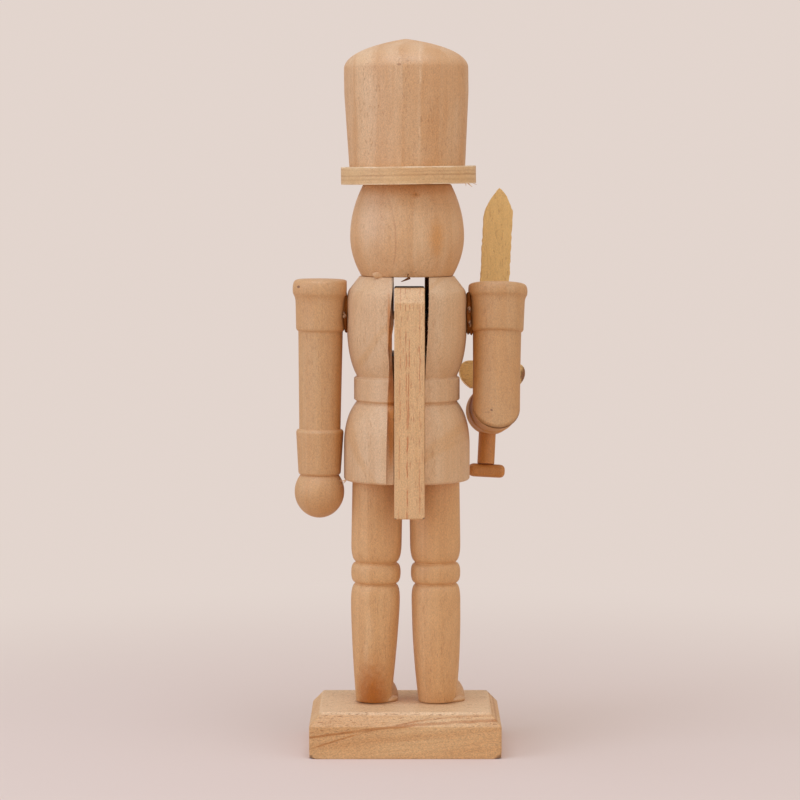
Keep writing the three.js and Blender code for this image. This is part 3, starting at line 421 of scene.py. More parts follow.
def make_grain():
    """Bare wood in millimetres with the grain along Z: growth rings round a pith at the origin, long streaks,
    short dark pores, fine speckle and slow mottling, each as a mask from 0 to 1."""
    group, w, given, out = new_group(
        "wood_grain",
        {"Vector": (0, 0, 0), "Ring Spacing": 3.0, "Wobble": 3.0, "Pore Length": 3.0},
        ("Rings", "Streaks", "Pores", "Speckle", "Mottle"),
    )
    at = given["Vector"]
    slow = w.vector("MULTIPLY", at, (1, 1, 0.16))
    drift = w.math("SUBTRACT", w.noise(slow, 0.035, 2.0), 0.5)
    across = w.vector("LENGTH", w.vector("MULTIPLY", at, (1, 1, 0.03)))
    wobble = w.math("MULTIPLY", given["Wobble"], 4.0)
    distance = w.math("ADD", across, w.math("MULTIPLY", drift, wobble))
    turns = w.math("DIVIDE", distance, given["Ring Spacing"])
    fraction = w.math("FRACT", turns)
    late = w.between(fraction, 0.25, 0.93)
    fall = w.between(fraction, 0.93, 1.0, 1.0, 0.0)
    strength = w.between(w.noise(slow, 0.06, 1.0), 0.3, 0.75, 0.35, 1.0)
    w.feed(out["Rings"], w.math("MULTIPLY", w.math("MULTIPLY", late, fall), strength))
    long_way = w.vector("MULTIPLY", at, (1, 1, 0.035))
    w.feed(out["Streaks"], w.between(w.noise(long_way, 0.9, 4.0, 0.62), 0.3, 0.7))
    pore_stretch = w.math("DIVIDE", 0.45, given["Pore Length"])
    dash_scale = w.node("ShaderNodeCombineXYZ", X=1.0, Y=1.0, Z=pore_stretch).outputs[0]
    dashes = w.noise(w.vector("MULTIPLY", at, dash_scale), 2.2, 1.5, 0.55)
    patches = w.noise(slow, 0.11, 2.0)
    shown = w.between(patches, 0.32, 0.58)
    w.feed(out["Pores"], w.math("MULTIPLY", w.between(dashes, 0.58, 0.7), shown))
    w.feed(out["Speckle"], w.noise(w.vector("MULTIPLY", at, (1, 1, 0.6)), 2.8, 2.0, 0.65))
    clouds = w.noise(w.vector("MULTIPLY", at, (1, 1, 0.45)), 0.07, 3.0, 0.55)
    w.feed(out["Mottle"], w.between(clouds, 0.3, 0.7))
    return group


def make_stain_and_shading():
    """A stain, a knot or a patch of painted shade or painted light: full inside an ellipsoid about a centre,
    fading to its edge, with a ragged outline.
    """
    group, w, given, out = new_group(
        "stain_and_shading",
        {"Vector": (0, 0, 0), "Centre": (0, 0, 0), "Size": (5, 5, 5), "Soft": 0.6, "Ragged": 0.3},
        ("Mask",),
    )
    apart = w.vector("DIVIDE", w.vector("SUBTRACT", given["Vector"], given["Centre"]), given["Size"])
    ripple = w.math("SUBTRACT", w.noise(given["Vector"], 0.45, 3.0, 0.6), 0.5)
    far = w.math("ADD", w.vector("LENGTH", apart), w.math("MULTIPLY", ripple, given["Ragged"]))
    inside = w.math("SUBTRACT", 1.0, given["Soft"])
    w.feed(out["Mask"], w.between(far, inside, 1.0, 1.0, 0.0))
    return group


def make_vein():
    """A dark or pale line in the wood where a slightly bowed sheet crosses the surface: full within its width
    of the sheet, fading over its softness, and wandering a little."""
    group, w, given, out = new_group(
        "vein",
        {"Vector": (0, 0, 0), "Point": (0, 0, 0), "Normal": (0, 0, 1), "Along": (1, 0, 0), "Bow": 0.0,
         "Width": 0.3, "Soft": 0.3, "Wander": 1.0, "Broken": 0.4},
        ("Mask",),
    )
    from_point = w.vector("SUBTRACT", given["Vector"], given["Point"])
    off = w.vector("DOT_PRODUCT", from_point, given["Normal"])
    run = w.vector("DOT_PRODUCT", from_point, given["Along"])
    bowed = w.math("MULTIPLY", w.math("MULTIPLY", run, run), given["Bow"])
    drift = w.math("SUBTRACT", w.noise(given["Vector"], 0.16, 3.0, 0.6), 0.5)
    away = w.math("ADD", w.math("ADD", off, bowed), w.math("MULTIPLY", drift, given["Wander"]))
    edge = w.math("ADD", given["Width"], given["Soft"])
    line_mask = w.between(w.math("ABSOLUTE", away), given["Width"], edge, 1.0, 0.0)
    rest = w.math("SUBTRACT", 1.0, given["Broken"])
    fading = w.between(w.noise(given["Vector"], 0.12, 2.0), 0.44, 0.56, rest, 1.0)
    w.feed(out["Mask"], w.math("MULTIPLY", line_mask, fading))
    return group


GRAIN = make_grain()
STAIN_AND_SHADING = make_stain_and_shading()
VEIN = make_vein()
GRAIN_ALONG = {"z": (0, 0, 0), "x": (0, math.pi / 2, 0), "y": (math.pi / 2, 0, 0)}
STAIN_AND_SHADING_SOCKETS = ("Centre", "Size", "Soft", "Ragged")
VEIN_SOCKETS = ("Point", "Normal", "Along", "Bow", "Width", "Soft", "Wander", "Broken")
BUMP_HEIGHT = 0.0003


def new_finish(name):
    """A material with its wires, its shader and the place on the object in millimetres."""
    finish = bpy.data.materials.new(name)
    finish.use_nodes = True
    w = Wires(finish.node_tree)
    where = w.node("ShaderNodeTexCoord").outputs["Object"]
    in_mm = w.vector("MULTIPLY", where, (1 / MM, 1 / MM, 1 / MM))
    return finish, w, finish.node_tree.nodes["Principled BSDF"], in_mm


def bare_wood(name, pale, deep, along="z", pith=(14, -9, 0), tilt=(0, 0, 0), rings=0.35, spacing=3.2,
              wobble=3.0, streaks=0.25, pores=0.3, pore_length=3.0, pore_tint=(0.42, 0.17, 0.05),
              speckle=0.15, mottle=0.45, warm=(0.62, 0.285, 0.09), stains_and_shading=(), veins=(), roughness=0.5,
              gloss=0.6):
    """A bare wood finish: pale wood warmed by slow mottling and darkened to the deep tint by rings and
    streaks, with stains and patches of painted shade and light (centre, size, soft, ragged, tint, share) and
    veins (point, normal, along, bow, width, soft, wander, broken, tint, share) laid over it, then flecked
    with pores and speckle."""
    finish, w, shader, in_mm = new_finish(name)
    mapping = {"vector_type": "POINT"}
    grain_way = w.node("ShaderNodeMapping", mapping, Vector=in_mm, Rotation=GRAIN_ALONG[along])
    laid = w.node("ShaderNodeMapping", mapping, Vector=grain_way.outputs[0], Location=pith, Rotation=tilt)
    mask = w.node("ShaderNodeGroup", {"node_tree": GRAIN}, Vector=laid.outputs[0], Ring_Spacing=spacing,
                  Wobble=wobble, Pore_Length=pore_length).outputs
    layers = [(mask["Mottle"], mottle, warm), (mask["Rings"], rings, deep), (mask["Streaks"], streaks, deep)]
    for group, sockets, marks in ((STAIN_AND_SHADING, STAIN_AND_SHADING_SOCKETS, stains_and_shading), (VEIN, VEIN_SOCKETS, veins)):
        for *values, tint, share in marks:
            mark = w.node("ShaderNodeGroup", {"node_tree": group}, Vector=in_mm, **dict(zip(sockets, values)))
            layers.append((mark.outputs[0], share, tint))
    layers.append((mask["Pores"], pores, pore_tint))
    colour = (*pale, 1)
    for cover, share, tint in layers:
        colour = w.mix(w.math("MULTIPLY", cover, share), colour, (*tint, 1))
    grit = w.between(mask["Speckle"], 0.3, 0.7, 1 - speckle, 1 + speckle, smooth=False)
    grey = w.node("ShaderNodeCombineColor", Red=grit, Green=grit, Blue=grit).outputs[0]
    colour = w.mix(1.0, colour, grey, "MULTIPLY")
    w.feed(shader.inputs["Base Color"], colour)
    rough = w.math("ADD", roughness, w.math("MULTIPLY", mask["Speckle"], 0.14))
    w.feed(shader.inputs["Roughness"], rough)
    dents = w.math("ADD", w.math("MULTIPLY", mask["Pores"], 0.8), w.math("MULTIPLY", mask["Streaks"], 0.25))
    height = w.math("SUBTRACT", w.math("MULTIPLY", mask["Speckle"], 0.35), dents)
    bump = w.node("ShaderNodeBump", Strength=0.5, Distance=BUMP_HEIGHT, Height=height)
    w.feed(shader.inputs["Normal"], bump.outputs[0])
    shader.inputs["Specular IOR Level"].default_value = gloss
    return finish


def drawn_steel(name, dark, light):
    """Plain steel wire: grey metal whose roughness and tone vary in fine lines along its length."""
    finish, w, shader, in_mm = new_finish(name)
    lines = w.noise(w.vector("MULTIPLY", in_mm, (0.9, 4, 0.9)), 1.0, 3.0)
    w.feed(shader.inputs["Base Color"], w.mix(lines, (*dark, 1), (*light, 1)))
    w.feed(shader.inputs["Roughness"], w.between(lines, 0.2, 0.8, 0.28, 0.5))
    shader.inputs["Metallic"].default_value = 1.0
    return finish


def dried_glue():
    """Dried glue: yellowish and glossy, cloudy and dusty in patches."""
    finish, w, shader, in_mm = new_finish("dried_glue")
    cloud = w.noise(in_mm, 1.3, 3.0, 0.6)
    dust = w.between(cloud, 0.4, 0.62)
    w.feed(shader.inputs["Base Color"], w.mix(dust, (0.44, 0.22, 0.09, 1), (0.1, 0.035, 0.012, 1)))
    w.feed(shader.inputs["Roughness"], w.between(cloud, 0.3, 0.7, 0.28, 0.55))
    return finish


# Finishes
PALE = (0.69, 0.42, 0.215)
ARM_PALE = (0.63, 0.36, 0.16)
LEG_PALE = (0.72, 0.405, 0.17)
DEEP = (0.55, 0.25, 0.075)
ORANGE = (0.54, 0.22, 0.055)
BROWN = (0.3, 0.12, 0.04)
CREAM = (0.8, 0.53, 0.29)
# Near black for the slot's walls: painted shade.
SLOT_SHADE = (0.045, 0.022, 0.012)
SIDEWAYS, UP = (1, 0, 0), (0, 0, 1)

hat_wood = bare_wood(
    "hat_wood", PALE, DEEP, pith=(10, -16, 0), rings=0.42, spacing=7.5, wobble=2.2, pores=0.5,
    pore_length=2.0, speckle=0.16,
    stains_and_shading=[((2.4, 21.6, HAT_SEAT + 35.2), (1.0, 1.6, 0.55), 0.6, 0.4, BROWN, 0.6)],
    veins=[
        ((-8.4, 20, 225), (1, 0, 0.01), UP, 0.0006, 2.8, 0.7, 1.6, 0.2, (0.6, 0.28, 0.09), 0.45),
        ((-4.6, 21, 225), (1, 0, 0.01), UP, 0.0, 0.1, 0.4, 1.2, 0.8, CREAM, 0.5),
        ((14.5, 16, 225), (1, 0, -0.01), UP, 0.0, 2.2, 1.4, 1.8, 0.4, CREAM, 0.35),
    ],
)
head_wood = bare_wood(
    "head_wood", (0.71, 0.44, 0.225), DEEP, pith=(-9, -18, 0), rings=0.34, spacing=7.0, wobble=4.0,
    pores=0.25,
    stains_and_shading=[
        ((12.5, 14, 188), (9, 12, 14), 0.8, 0.6, (0.77, 0.52, 0.32), 0.35),
        ((-3.4, 17.6, 197.3), (2.2, 2.5, 1.7), 0.8, 0.5, ORANGE, 0.8),
        ((-3.4, 17.6, 197.3), (0.7, 2.5, 0.6), 0.6, 0.5, BROWN, 0.7),
        ((-10.8, 17, 182.5), (4.4, 7, 10.5), 0.95, 0.5, (0.6, 0.24, 0.04), 0.72),
        # Painted shade under the brim, round the head's top.
        ((-2, 18, 200.5), (20, 20, 5), 0.9, 0.5, ORANGE, 0.45),
    ],
    veins=[
        ((3.6, 18, 181), SIDEWAYS, UP, -0.0116, 0.1, 0.35, 0.7, 0.7, (0.48, 0.2, 0.07), 0.46),
        ((9.5, 18, 186), (1, 0, 0.08), UP, 0.004, 0.3, 0.9, 1.6, 0.4, (0.6, 0.32, 0.14), 0.35),
    ],
)
TORSO_STREAK = (0.6, 0.3, 0.1)
torso_wood = bare_wood(
    "torso_wood", (0.7, 0.45, 0.245), (0.56, 0.29, 0.115), pith=(16, -14, 0), rings=0.3, spacing=6.0,
    wobble=3.4, pores=0.28, pore_length=3.4, warm=(0.66, 0.35, 0.14),
    stains_and_shading=[
        # Painted shade on the slot's right wall, near black.
        ((-7.6, 4, 156), (1.6, 15, 24), 0.25, 0.3, SLOT_SHADE, 0.97),
        # Painted shade on the groove's floor left of the lever: orange-brown, darker and paler by height.
        ((5.2, 14, 118), (1.9, 14, 24), 0.5, 0.2, (0.58, 0.215, 0.03), 0.9),
        ((6.0, 15, 152), (0.85, 12, 16), 0.6, 0.3, (0.52, 0.15, 0.006), 0.75),
        ((4.75, 12, 131), (1.7, 16, 12.5), 0.6, 0.2, (0.34, 0.1, 0.008), 0.9),
        ((5.2, 13, 147), (1.6, 16, 6), 0.5, 0.3, (0.9, 0.42, 0.11), 0.85),
        # Painted shade on the slot's left wall, near black.
        ((4.6, 5, 161), (1.3, 16, 14), 0.25, 0.15, SLOT_SHADE, 0.93),
    ],
    veins=[
        ((11, 18, 146), (0.8, 0, 0.6), UP, 0.012, 0.5, 1.2, 2.0, 0.4, TORSO_STREAK, 0.35),
        ((-13, 18, 111), (0.55, 0, 0.83), SIDEWAYS, 0.01, 0.8, 1.8, 2.0, 0.4, TORSO_STREAK, 0.35),
        ((-9, 20, 106), (0.5, 0, 0.86), SIDEWAYS, 0.01, 0.4, 0.9, 2.0, 0.4, TORSO_STREAK, 0.3),
    ],
)
left_arm_wood = bare_wood(
    "left_arm_wood", ARM_PALE, DEEP, pith=(-22, -10, 0), rings=0.28, spacing=5.0, pores=0.24,
    stains_and_shading=[
        ((37.9, 6.2, SHOULDER + 9.9), (1.1, 1.2, 0.6), 0.5, 0.4, (0.2, 0.08, 0.03), 0.85),
        # Painted shade on the arm's side towards the torso.
        ((22.0, 3, 122), (5, 14, 46), 0.8, 0.4, (0.5, 0.19, 0.03), 0.75),
    ],
)
MITRE_WAY = RIGHT_ARM_TURN @ np.array([0, math.sqrt(0.5), math.sqrt(0.5)])
MITRE_LINE = (ELBOW, MITRE_WAY, SIDEWAYS, 0.0, 0.1, 0.3, 0.3, 0.4, (0.16, 0.05, 0.012), 0.85)
right_arm_wood = bare_wood(
    "right_arm_wood", (0.59, 0.328, 0.138), DEEP, pith=(20, -12, 0), rings=0.28, spacing=5.5, pores=0.24,
    stains_and_shading=[
        # Painted shade on the arm's side towards the torso.
        ((-23.0, 3, 138), (6, 14, 34), 0.8, 0.4, (0.5, 0.19, 0.03), 0.85),
        (ELBOW + [1.9, 8.0, -0.7], (0.6, 2.5, 0.4), 0.5, 0.5, (0.12, 0.045, 0.018), 0.85),
        (ELBOW + [3.2, 8.0, -1.5], (2.0, 2.5, 0.2), 0.7, 0.4, BROWN, 0.5),
    ],
    veins=[MITRE_LINE],
)
forearm_wood = bare_wood(
    "forearm_wood", (0.64, 0.35, 0.14), DEEP, along="y", pith=(26, 110, 0), rings=0.32, spacing=4.5,
    pores=0.2, gloss=0.2,
    # Painted shade on the forearm beside the upper arm's end, between the elbow and the cuff.
    stains_and_shading=[(ELBOW + [7.5, -9, 4], (7, 8, 10), 0.6, 0.4, (0.36, 0.085, 0.006), 0.9)],
    veins=[MITRE_LINE],
)
left_leg_wood = bare_wood(
    "left_leg_wood", LEG_PALE, DEEP, pith=(2, -20, 0), rings=0.34, spacing=5.2, wobble=4.0, pores=0.28,
    stains_and_shading=[
        ((12.4, 7.5, 13), (9.6, 10, 25), 0.75, 0.4, (0.43, 0.12, 0.004), 1.0),
        ((12.7, 8.5, 44), (1.8, 3, 9), 0.8, 0.6, CREAM, 0.15),
        ((14.2, 7, 35), (1.4, 4, 7), 0.8, 0.6, CREAM, 0.15),
    ],
)
right_leg_wood = bare_wood(
    "right_leg_wood", LEG_PALE, DEEP, pith=(22, -12, 0), rings=0.3, spacing=5.6, wobble=3.0, pores=0.28,
    stains_and_shading=[((-11, 8, 14), (9, 9, 9), 0.8, 0.5, ORANGE, 0.35)],
)
shoe_wood = bare_wood("shoe_wood", (0.66, 0.38, 0.18), DEEP, along="y", pith=(30, -30, 0), spacing=3.4)
GRAIN_SLOPE = 0.085
WORN, BASE_LINE = (0.14, 0.055, 0.02), (0.44, 0.16, 0.03)
base_wood = bare_wood(
    "base_wood", (0.7, 0.415, 0.18), (0.52, 0.225, 0.06), along="x", pith=(60, 6, 0),
    tilt=(0, -GRAIN_SLOPE, 0), rings=0.3, spacing=6.4, wobble=1.6, streaks=0.35, pores=0.7, pore_length=1.7,
    pore_tint=(0.34, 0.12, 0.03), speckle=0.22,
    stains_and_shading=[
        # Painted light: the top face paler than the sides.
        ((0, 0, BASE_TOP), (60, 60, 1.4), 0.4, 0.2, (0.84, 0.57, 0.32), 0.45),
        # Painted shade on the base's top between the legs.
        ((-0.5, -2, BASE_TOP), (8, 11, 2), 0.8, 0.5, ORANGE, 0.65),
        ((11.9, 4.5, BASE_TOP), (8.2, 5.4, 1.5), 0.5, 0.7, (0.36, 0.14, 0.045), 0.75),
        ((-11.4, 4.5, BASE_TOP), (9.0, 5.2, 1.5), 0.5, 0.7, (0.4, 0.17, 0.055), 0.6),
        ((33.9, 26.7, 0.3), (2.2, 2.6, 1.6), 0.7, 0.8, WORN, 0.75),
        ((-33.4, 26.7, 0.3), (2.6, 2.6, 1.8), 0.7, 0.8, WORN, 0.75),
    ],
    veins=[
        ((0, 26, 11.6), (GRAIN_SLOPE, 0, 1), SIDEWAYS, 0.001, 0.2, 0.5, 1.0, 0.3, BASE_LINE, 0.85),
        ((-14, 26, 14.2), (GRAIN_SLOPE, 0, 1), SIDEWAYS, 0.003, 0.1, 0.35, 0.8, 0.6, BASE_LINE, 0.8),
    ],
)
BRIM_MIDDLE = BRIM_SEAT + 3.1
brim_wood = bare_wood(
    "brim_wood", (0.76, 0.49, 0.23), (0.57, 0.31, 0.12), along="x", pith=(-420, 0, 0), rings=0.3, spacing=2.3,
    wobble=0.5, streaks=0.35, pores=0.35, pore_length=5.0, speckle=0.12,
    veins=[
        ((0, 20, BRIM_MIDDLE + rise), (lean, 0, 1), SIDEWAYS, *line_look)
        for rise, lean, *line_look in (
            (0.2, 0.02, 0.0004, 0.1, 0.4, 0.7, 0.4, (0.46, 0.22, 0.075), 0.62),
            (1.5, 0, -0.0006, 0.05, 0.35, 0.7, 0.6, (0.5, 0.25, 0.1), 0.45),
            (-1.3, 0.01, 0.0005, 0.1, 0.5, 0.8, 0.5, (0.54, 0.28, 0.1), 0.4),
            (3.0, 0.012, 0.0, 0.2, 0.25, 0.5, 0.6, (0.9, 0.7, 0.44), 0.7),
            (-3.0, 0.012, 0.0, 0.1, 0.25, 0.5, 0.6, (0.9, 0.7, 0.44), 0.6),
        )
    ],
)
LEVER_END = NECK - 84.2
LOW_CORNER_DARK, FLECK = (0.16, 0.07, 0.03), (0.5, 0.14, 0.03)
lever_wood = bare_wood(
    "lever_wood", (0.73, 0.44, 0.205), (0.6, 0.31, 0.11), pith=(60, -30, 0), rings=0.25, spacing=3.6,
    streaks=0.3, pores=0.5, pore_length=4.0, pore_tint=(0.48, 0.15, 0.04), speckle=0.18, mottle=0.25,
    stains_and_shading=[
        # Darker at the bar's two lower corners.
        ((4.1, LEVER_BACK, LEVER_END), (1.1, 1.4, 0.9), 0.6, 0.8, LOW_CORNER_DARK, 0.85),
        ((-6.5, LEVER_BACK, LEVER_END), (1.2, 1.4, 1.0), 0.6, 0.8, LOW_CORNER_DARK, 0.85),
        # Painted shade on the jaw's top, under the head.
        ((-1.2, 6, NECK - 3.4), (8, 14, 1.6), 0.3, 0.3, (0.12, 0.045, 0.02), 0.9),
    ],
    veins=[
        ((x, LEVER_BACK, z), (1, 0, lean), UP, 0.0, width, soft, wander, 1.0, FLECK, share)
        for x, z, lean, width, soft, wander, share in (
            (-1.0, 138, 0.015, 0.06, 0.22, 0.9, 0.75),
            (-0.3, 112, -0.01, 0.06, 0.2, 1.0, 0.7),
            (-4.8, 105, 0, 0.05, 0.2, 1.0, 0.6),
            (2.4, 110, 0.01, 0.05, 0.2, 1.2, 0.6),
        )
    ],
)
stick_wood = bare_wood(
    "stick_wood", (0.84, 0.515, 0.17), (0.64, 0.36, 0.1), pith=(60, 30, 0), rings=0.2, spacing=2.4,
    streaks=0.35, pores=0.45, pore_length=2.4, mottle=0.15, warm=(0.74, 0.42, 0.11), speckle=0.1,
)
# Paler than the other woods: painted light, for the guard sits in the shade between the arm and the torso.
guard_wood_painted_light = bare_wood(
    "guard_wood_painted_light", (1.0, 0.68, 0.24), (0.84, 0.5, 0.15), along="x", pith=(30, 30, 0), rings=0.25, spacing=2.4,
    streaks=0.35, pore_length=2.4, mottle=0.15, warm=(0.84, 0.5, 0.14),
    stains_and_shading=[((-44.0, -26, 130.6), (3.6, 8, 6), 0.45, 0.6, (0.2, 0.06, 0.012), 0.9)],
)
# The grip and pommel are the arms' wood, coloured darker and more orange as painted shade.
grip_wood_painted_shade = bare_wood(
    "grip_wood_painted_shade", (0.58, 0.22, 0.035), (0.44, 0.15, 0.02), pith=(40, 26, 0), rings=0.3, spacing=2.2
)
# Dark brown dowel wood, glue-soaked and darkened further as painted shade where the shoulder dowels show in
# their gaps.
dowel_wood_and_gap_shade = bare_wood(
    "dowel_wood_and_gap_shade", (0.34, 0.13, 0.035), (0.2, 0.065, 0.015), along="x", pith=(9, 8, 0), rings=0.3, spacing=2.0,
    warm=(0.3, 0.11, 0.025), gloss=0.1,
)
# Dark red-brown glue for the shoulder gaps, dark also as painted shade in the deep gap.
glue_and_gap_shade = bare_wood(
    "glue_and_gap_shade", (0.26, 0.075, 0.008), (0.09, 0.02, 0.003), pith=(4, 9, 0), rings=0.5, spacing=1.1,
    wobble=5.0, warm=(0.36, 0.13, 0.02), gloss=0.1,
)
# Near-black wood: painted shade on the slot's right wall, and the dark splinters under the head.
scorch_and_shade = bare_wood(
    "scorched_wood_and_painted_shade", (0.11, 0.04, 0.016), (0.03, 0.012, 0.006), rings=0.3, mottle=0.6,
    warm=(0.22, 0.08, 0.025), roughness=0.85, gloss=0.0,
)
steel = drawn_steel("drawn_steel", (0.1, 0.085, 0.07), (0.3, 0.28, 0.26))
dull_wire = drawn_steel("dull_wire", (0.012, 0.008, 0.006), (0.05, 0.035, 0.025))
glue = dried_glue()

# Turned pieces of the stack
HEAD_HEIGHT, HEAD_LOW, HEAD_WIDE, HEAD_MIDDLE, HEAD_TOP = 32.5, 16.2, 20.2, 14.0, 15.5
HEAD_SIDESTEP = -0.4
head_profile = sanded(
    [
        line((0, 0), (HEAD_LOW, 0)),
        bend((HEAD_LOW, 0), (HEAD_WIDE, HEAD_MIDDLE / 2), (HEAD_WIDE, HEAD_MIDDLE)),
        bend((HEAD_WIDE, HEAD_MIDDLE), (HEAD_WIDE, (HEAD_MIDDLE + HEAD_HEIGHT) / 2), (HEAD_TOP, HEAD_HEIGHT)),
        line((0, HEAD_HEIGHT)),
    ],
    0.3,
)
head = placed(turned(head_profile, WIDE_SIDES), UPRIGHT, (HEAD_SIDESTEP, 0, HEAD_SEAT))
piece("turned_head", head, head_wood, stands_for=["head"])

HAT_FOOT, HAT_RADIUS, HAT_WALL, HAT_HEIGHT, HAT_SUNK = 20.5, 21.95, 35, 44.8, -0.5
HAT_LEAN, HAT_LEAN_FROM = turn(1, 0.7), 36.0
hat_profile = sanded(
    [
        line((0, HAT_SUNK), (HAT_FOOT - 0.05, HAT_SUNK), (HAT_FOOT, 0), (HAT_RADIUS, 26),
             (HAT_RADIUS, HAT_WALL)),
        bend((HAT_RADIUS, HAT_WALL), (20.4, 41.6), (0, HAT_HEIGHT), 60),
    ],
    0.45,
)
hat = placed(turned(hat_profile, WIDE_SIDES), UPRIGHT, (0, 0, -HAT_LEAN_FROM))
piece("turned_hat", placed(hat, HAT_LEAN, (0, 0, HAT_SEAT + HAT_LEAN_FROM)), hat_wood, stands_for=["hat"])

BRIM_RADIUS, BRIM_THICKNESS, BRIM_SIDESTEP = 23.9, 6.2, -0.9
brim_profile = sanded(
    [line((0, 0), (BRIM_RADIUS, 0), (BRIM_RADIUS, BRIM_THICKNESS), (0, BRIM_THICKNESS))], 0.16
)
brim_splinters = threads([
    ((-20.6, 10.5, 0.2), (-21.5, 11.2, -0.6), (-22.3, 11.4, -1.3), 0.22),
    ((-19.8, 11.6, 0.2), (-20.2, 12.2, -0.5), (-20.0, 12.6, -0.9), 0.16),
    ((-22.4, 7.6, 0.2), (-23.4, 8.0, -0.3), (-24.0, 8.6, -0.5), 0.14),
])
brim = together(turned(brim_profile, WIDE_SIDES), brim_splinters)
piece("hat_brim", placed(brim, HAT_LEAN, (BRIM_SIDESTEP, 0, BRIM_SEAT)), brim_wood,
      stands_for=["brim"])

NOSE_TENON, NOSE_RADIUS, NOSE_LENGTH, NOSE_HEIGHT = 1.6, 3, 4.6, 16
nose_profile = sanded(
    [
        line((0, -5), (NOSE_TENON, -5), (NOSE_TENON, 0)),
        bend((NOSE_TENON, 0), (NOSE_RADIUS, 0), (NOSE_RADIUS, NOSE_LENGTH / 2)),
        bend((NOSE_RADIUS, NOSE_LENGTH / 2), (NOSE_RADIUS, NOSE_LENGTH), (0, NOSE_LENGTH)),
    ],
    0.15,
)
nose = placed(turned(nose_profile, ROD_SIDES), FORWARD, (0, -HEAD_WIDE - GLUE_GAP, HEAD_SEAT + NOSE_HEIGHT))
piece("nose_knob", nose, head_wood, stands_for=["nose"])


# Torso
TORSO_SIDESTEP = -0.3
TORSO_HEIGHT, HEM_RADIUS, BELT_LOW, BELT_HIGH, BELT_RADIUS, WAIST = 72.5, 22.4, 28.0, 37.2, 18.8, 17.8
SHOULDER_RADIUS, CHEST_LOW, CHEST_HIGH, NECK_RADIUS = 21.3, 56.0, 62.0, 16.8
SLOT_FLOOR = TORSO_HEIGHT - 27.7
GROOVE_FLOOR = 13.7
# The hand-cut groove and slot, by height: the groove's two edges at the back, and the slot's left wall
EDGE_HEIGHTS = [0, 15, 25, 33, 41, 48, 53, 60, 66, 70, 72.5]
LEFT_EDGE = [7.0, 6.84, 6.5, 6.3, 5.9, 6.3, 6.1, 5.6, 5.0, 4.65, 4.6]
RIGHT_EDGE = [-6.6, -6.6, -6.6, -6.6, -6.85, -7.3, -7.6, -7.87, -7.98, -8.0, -8.0]
WALL_HEIGHTS = [34, 44.8, 52, 56, 72.5]
LEFT_WALL = [4.35, 5.0, 5.0, 4.28, 4.28]
FRONT_RIGHT = -6.75
RELIEF_LOW, RELIEF_HIGH = 20.5, 16.6
# Thickness of the skin of painted shade on the slot's right wall.
SHADE_SKIN_DEPTH = 0.08


def torso_wall():
    """The torso's side as radius against height: hem, skirt, belt between two cut lines, chest, shoulder."""
    profile = sanded(
        [
            line((19, 0), (HEM_RADIUS - 0.6, 0), (HEM_RADIUS, 0.6), (HEM_RADIUS, 12)),
            bend((HEM_RADIUS, 12), (HEM_RADIUS, (12 + 2 * BELT_LOW) / 3), (WAIST, BELT_LOW)),
            line((WAIST, BELT_LOW + 0.15), (BELT_RADIUS, BELT_LOW + 0.8), (BELT_RADIUS, BELT_HIGH - 0.8),
                 (WAIST, BELT_HIGH - 0.15)),
            bend((WAIST, BELT_HIGH), (SHOULDER_RADIUS, (CHEST_LOW + 2 * BELT_HIGH) / 3),
                 (SHOULDER_RADIUS, CHEST_LOW)),
            bend((SHOULDER_RADIUS, CHEST_HIGH), (SHOULDER_RADIUS, 66.6), (20.5, 67.7)),
            line((NECK_RADIUS, TORSO_HEIGHT), (15, TORSO_HEIGHT)),
        ],
        0.2,
        on_axis=False,
    )
    rising = profile[1:-1]
    at_slot = np.interp(SLOT_FLOOR, rising[:, 1], rising[:, 0])
    split = np.searchsorted(rising[:, 1], SLOT_FLOOR)
    return np.insert(rising, split, [at_slot, SLOT_FLOOR], axis=0), split


